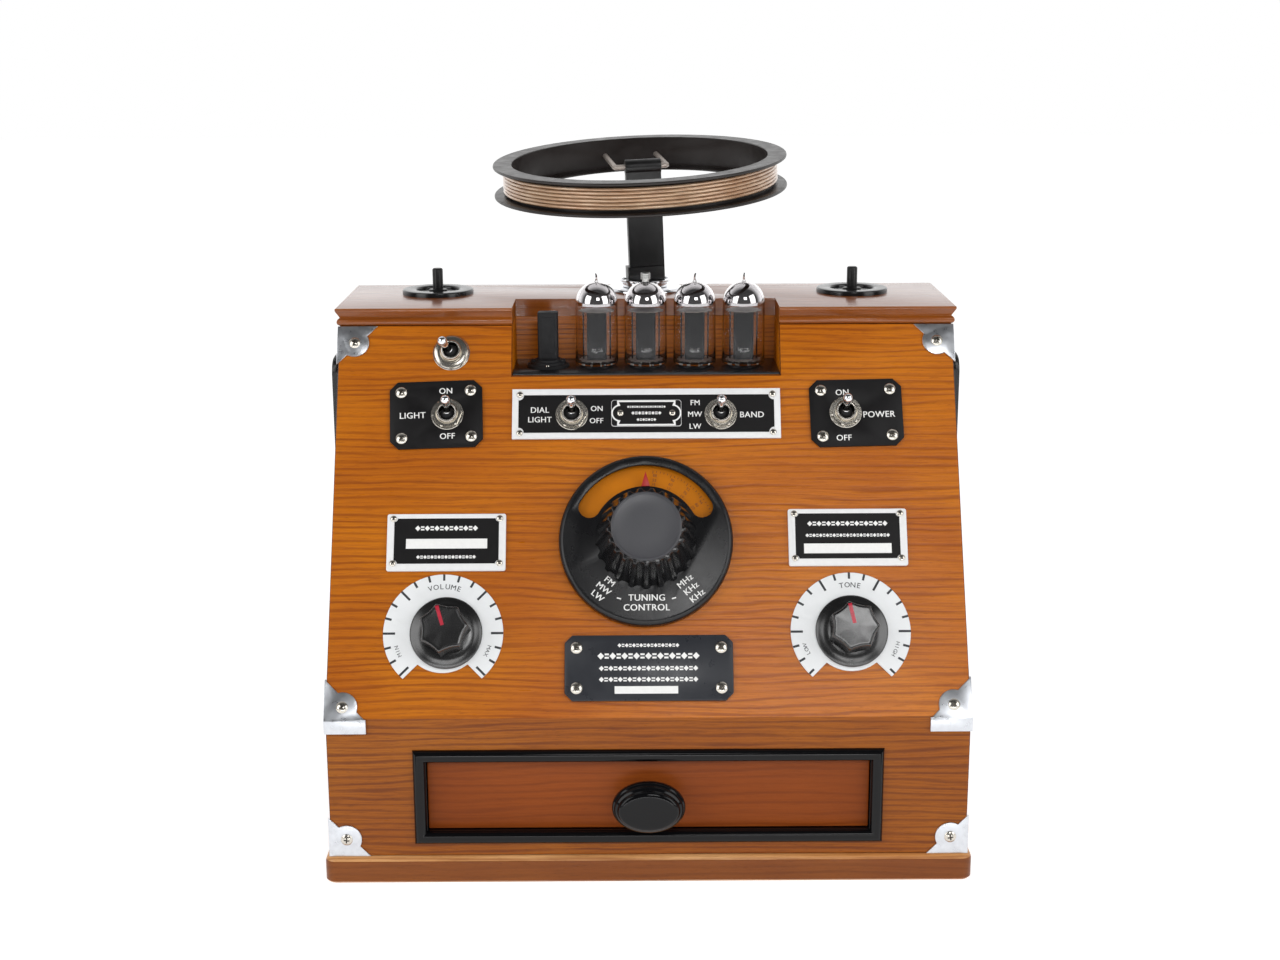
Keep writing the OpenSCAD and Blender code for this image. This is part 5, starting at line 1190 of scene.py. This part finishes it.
def make_winding():
    """One wire that climbs a pitch in each turn, with a short straight lead at each end."""
    steps, sides = 144, 14
    points = [Vector((2.4, WIND_R, -WIND_END))]
    for i in range(WIRE_TURNS * steps + 1):
        a = math.radians(90) + 2 * math.pi * i / steps
        points.append(Vector((WIND_R * math.cos(a), WIND_R * math.sin(a), WIRE_PITCH * i / steps - WIND_END)))
    points.append(Vector((-2.4, WIND_R, WIND_END)))
    bm = bmesh.new()
    rings = []
    for i, point in enumerate(points):
        ahead = (points[min(i + 1, len(points) - 1)] - points[max(i - 1, 0)]).normalized()
        out = ahead.cross(Vector((0, 0, 1))).normalized()
        up = out.cross(ahead)
        rings.append([bm.verts.new(LOOP @ (point + x * out + y * up)) for x, y in circle(WIRE_R, sides)])
    bridge(bm, rings)
    for end in (rings[0], rings[-1]):
        bm.faces.new(end)
    make_piece("loop_wire", bm, wire, ["loop_winding"], smooth=60, body="loop")


make_loop()
make_winding()

# Grilles, and what stands inside with no dressing of its own
dressed("grille_covers", ["speaker_grilles"], black_gloss, 0.3)
PLAIN = {"speakers": cone_paper, "circuit_board": board_green, "transformer": core_iron,
         "power_inlet": black_satin, "potentiometers": steel, "tuning_capacitor": steel,
         "tuning_spindle": steel, "volume_spindle": steel, "tone_spindle": steel}
for node_name, node_material in PLAIN.items():
    for material_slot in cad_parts[node_name].material_slots:
        material_slot.material = node_material

# Floor, light and surroundings, in metres
FLOOR_REACH, FLOOR_GREY, FLOOR_GLOW = 6, 0.82, 0.62


def seen_in_glass(tree, path):
    """1 where a ray comes from a mirror or through glass."""
    return math_node(tree, "MAXIMUM", path.outputs["Is Glossy Ray"], path.outputs["Is Transmission Ray"])


def make_floor():
    mesh = bpy.data.meshes.new("floor")
    mesh.from_pydata([(sx * FLOOR_REACH, sy * FLOOR_REACH, 0) for sx, sy in CORNERS], [], [(0, 1, 2, 3)])
    material = bpy.data.materials.new("floor_paper")
    material.use_nodes = True
    tree = material.node_tree
    tree.nodes.remove(tree.nodes["Principled BSDF"])
    paper = add(tree, "ShaderNodeBsdfDiffuse", {"Color": (FLOOR_GREY, FLOOR_GREY, FLOOR_GREY, 1)})
    path = add(tree, "ShaderNodeLightPath")
    seen = math_node(tree, "MAXIMUM", path.outputs["Is Camera Ray"], seen_in_glass(tree, path))
    glow = add(tree, "ShaderNodeEmission", {"Color": (1, 1, 1, 1), "Strength": times(tree, seen, FLOOR_GLOW)})
    both = add(tree, "ShaderNodeAddShader", {0: paper.outputs[0], 1: glow.outputs[0]})
    set_inputs(tree, tree.nodes["Material Output"], {"Surface": both.outputs[0]})
    mesh.materials.append(material)
    floor = new_object("floor", mesh)


def make_world():
    """White to the camera, grey as light, and in mirrors brighter behind the radio than before it."""
    world = bpy.data.worlds.new("surroundings")
    bpy.context.scene.world = world
    world.use_nodes = True
    tree = world.node_tree
    direction = add(tree, "ShaderNodeTexCoord").outputs["Generated"]
    axes = add(tree, "ShaderNodeSeparateXYZ", {0: direction})
    behind = remap(tree, axes.outputs["Y"], -0.1, 0.4, 0.10, 1.3)
    overhead = remap(tree, axes.outputs["Z"], 0.2, 0.8, 1.0, 0.65)
    path = add(tree, "ShaderNodeLightPath")
    soft = blend_value(tree, seen_in_glass(tree, path), 0.5, times(tree, behind, overhead))
    level = blend_value(tree, path.outputs["Is Camera Ray"], soft, 1.0)
    set_inputs(tree, tree.nodes["Background"], {"Strength": level, "Color": (1, 1, 1, 1)})


make_floor()
make_world()

# Each lamp by its place, its size and its power. They all face the middle of the radio
LIGHT_TARGET = Vector((0, 0, 0.17))
LAMPS = {
    "softbox_left": ((-1.35, -0.95, 0.85), (1.0, 1.3), 10.4),
    "softbox_right": ((1.35, -0.95, 0.85), (1.0, 1.3), 10.4),
    "softbox_front": ((0.2, -1.3, 0.96), (0.4, 0.35), 3.0),
    "strip_low": ((0.0, -0.95, 0.05), (1.1, 0.04), 1.0),
}
for lamp_name, (lamp_at, lamp_size, lamp_power) in LAMPS.items():
    lamp_data = bpy.data.lights.new(lamp_name, "AREA")
    lamp_data.shape = "RECTANGLE"
    lamp_data.size, lamp_data.size_y = lamp_size
    lamp_data.energy = lamp_power
    lamp = new_object(lamp_name, lamp_data)
    lamp.location = lamp_at
    lamp.rotation_euler = (LIGHT_TARGET - Vector(lamp_at)).to_track_quat("-Z", "Y").to_euler()

bpy.context.scene.view_settings.view_transform = "Standard"
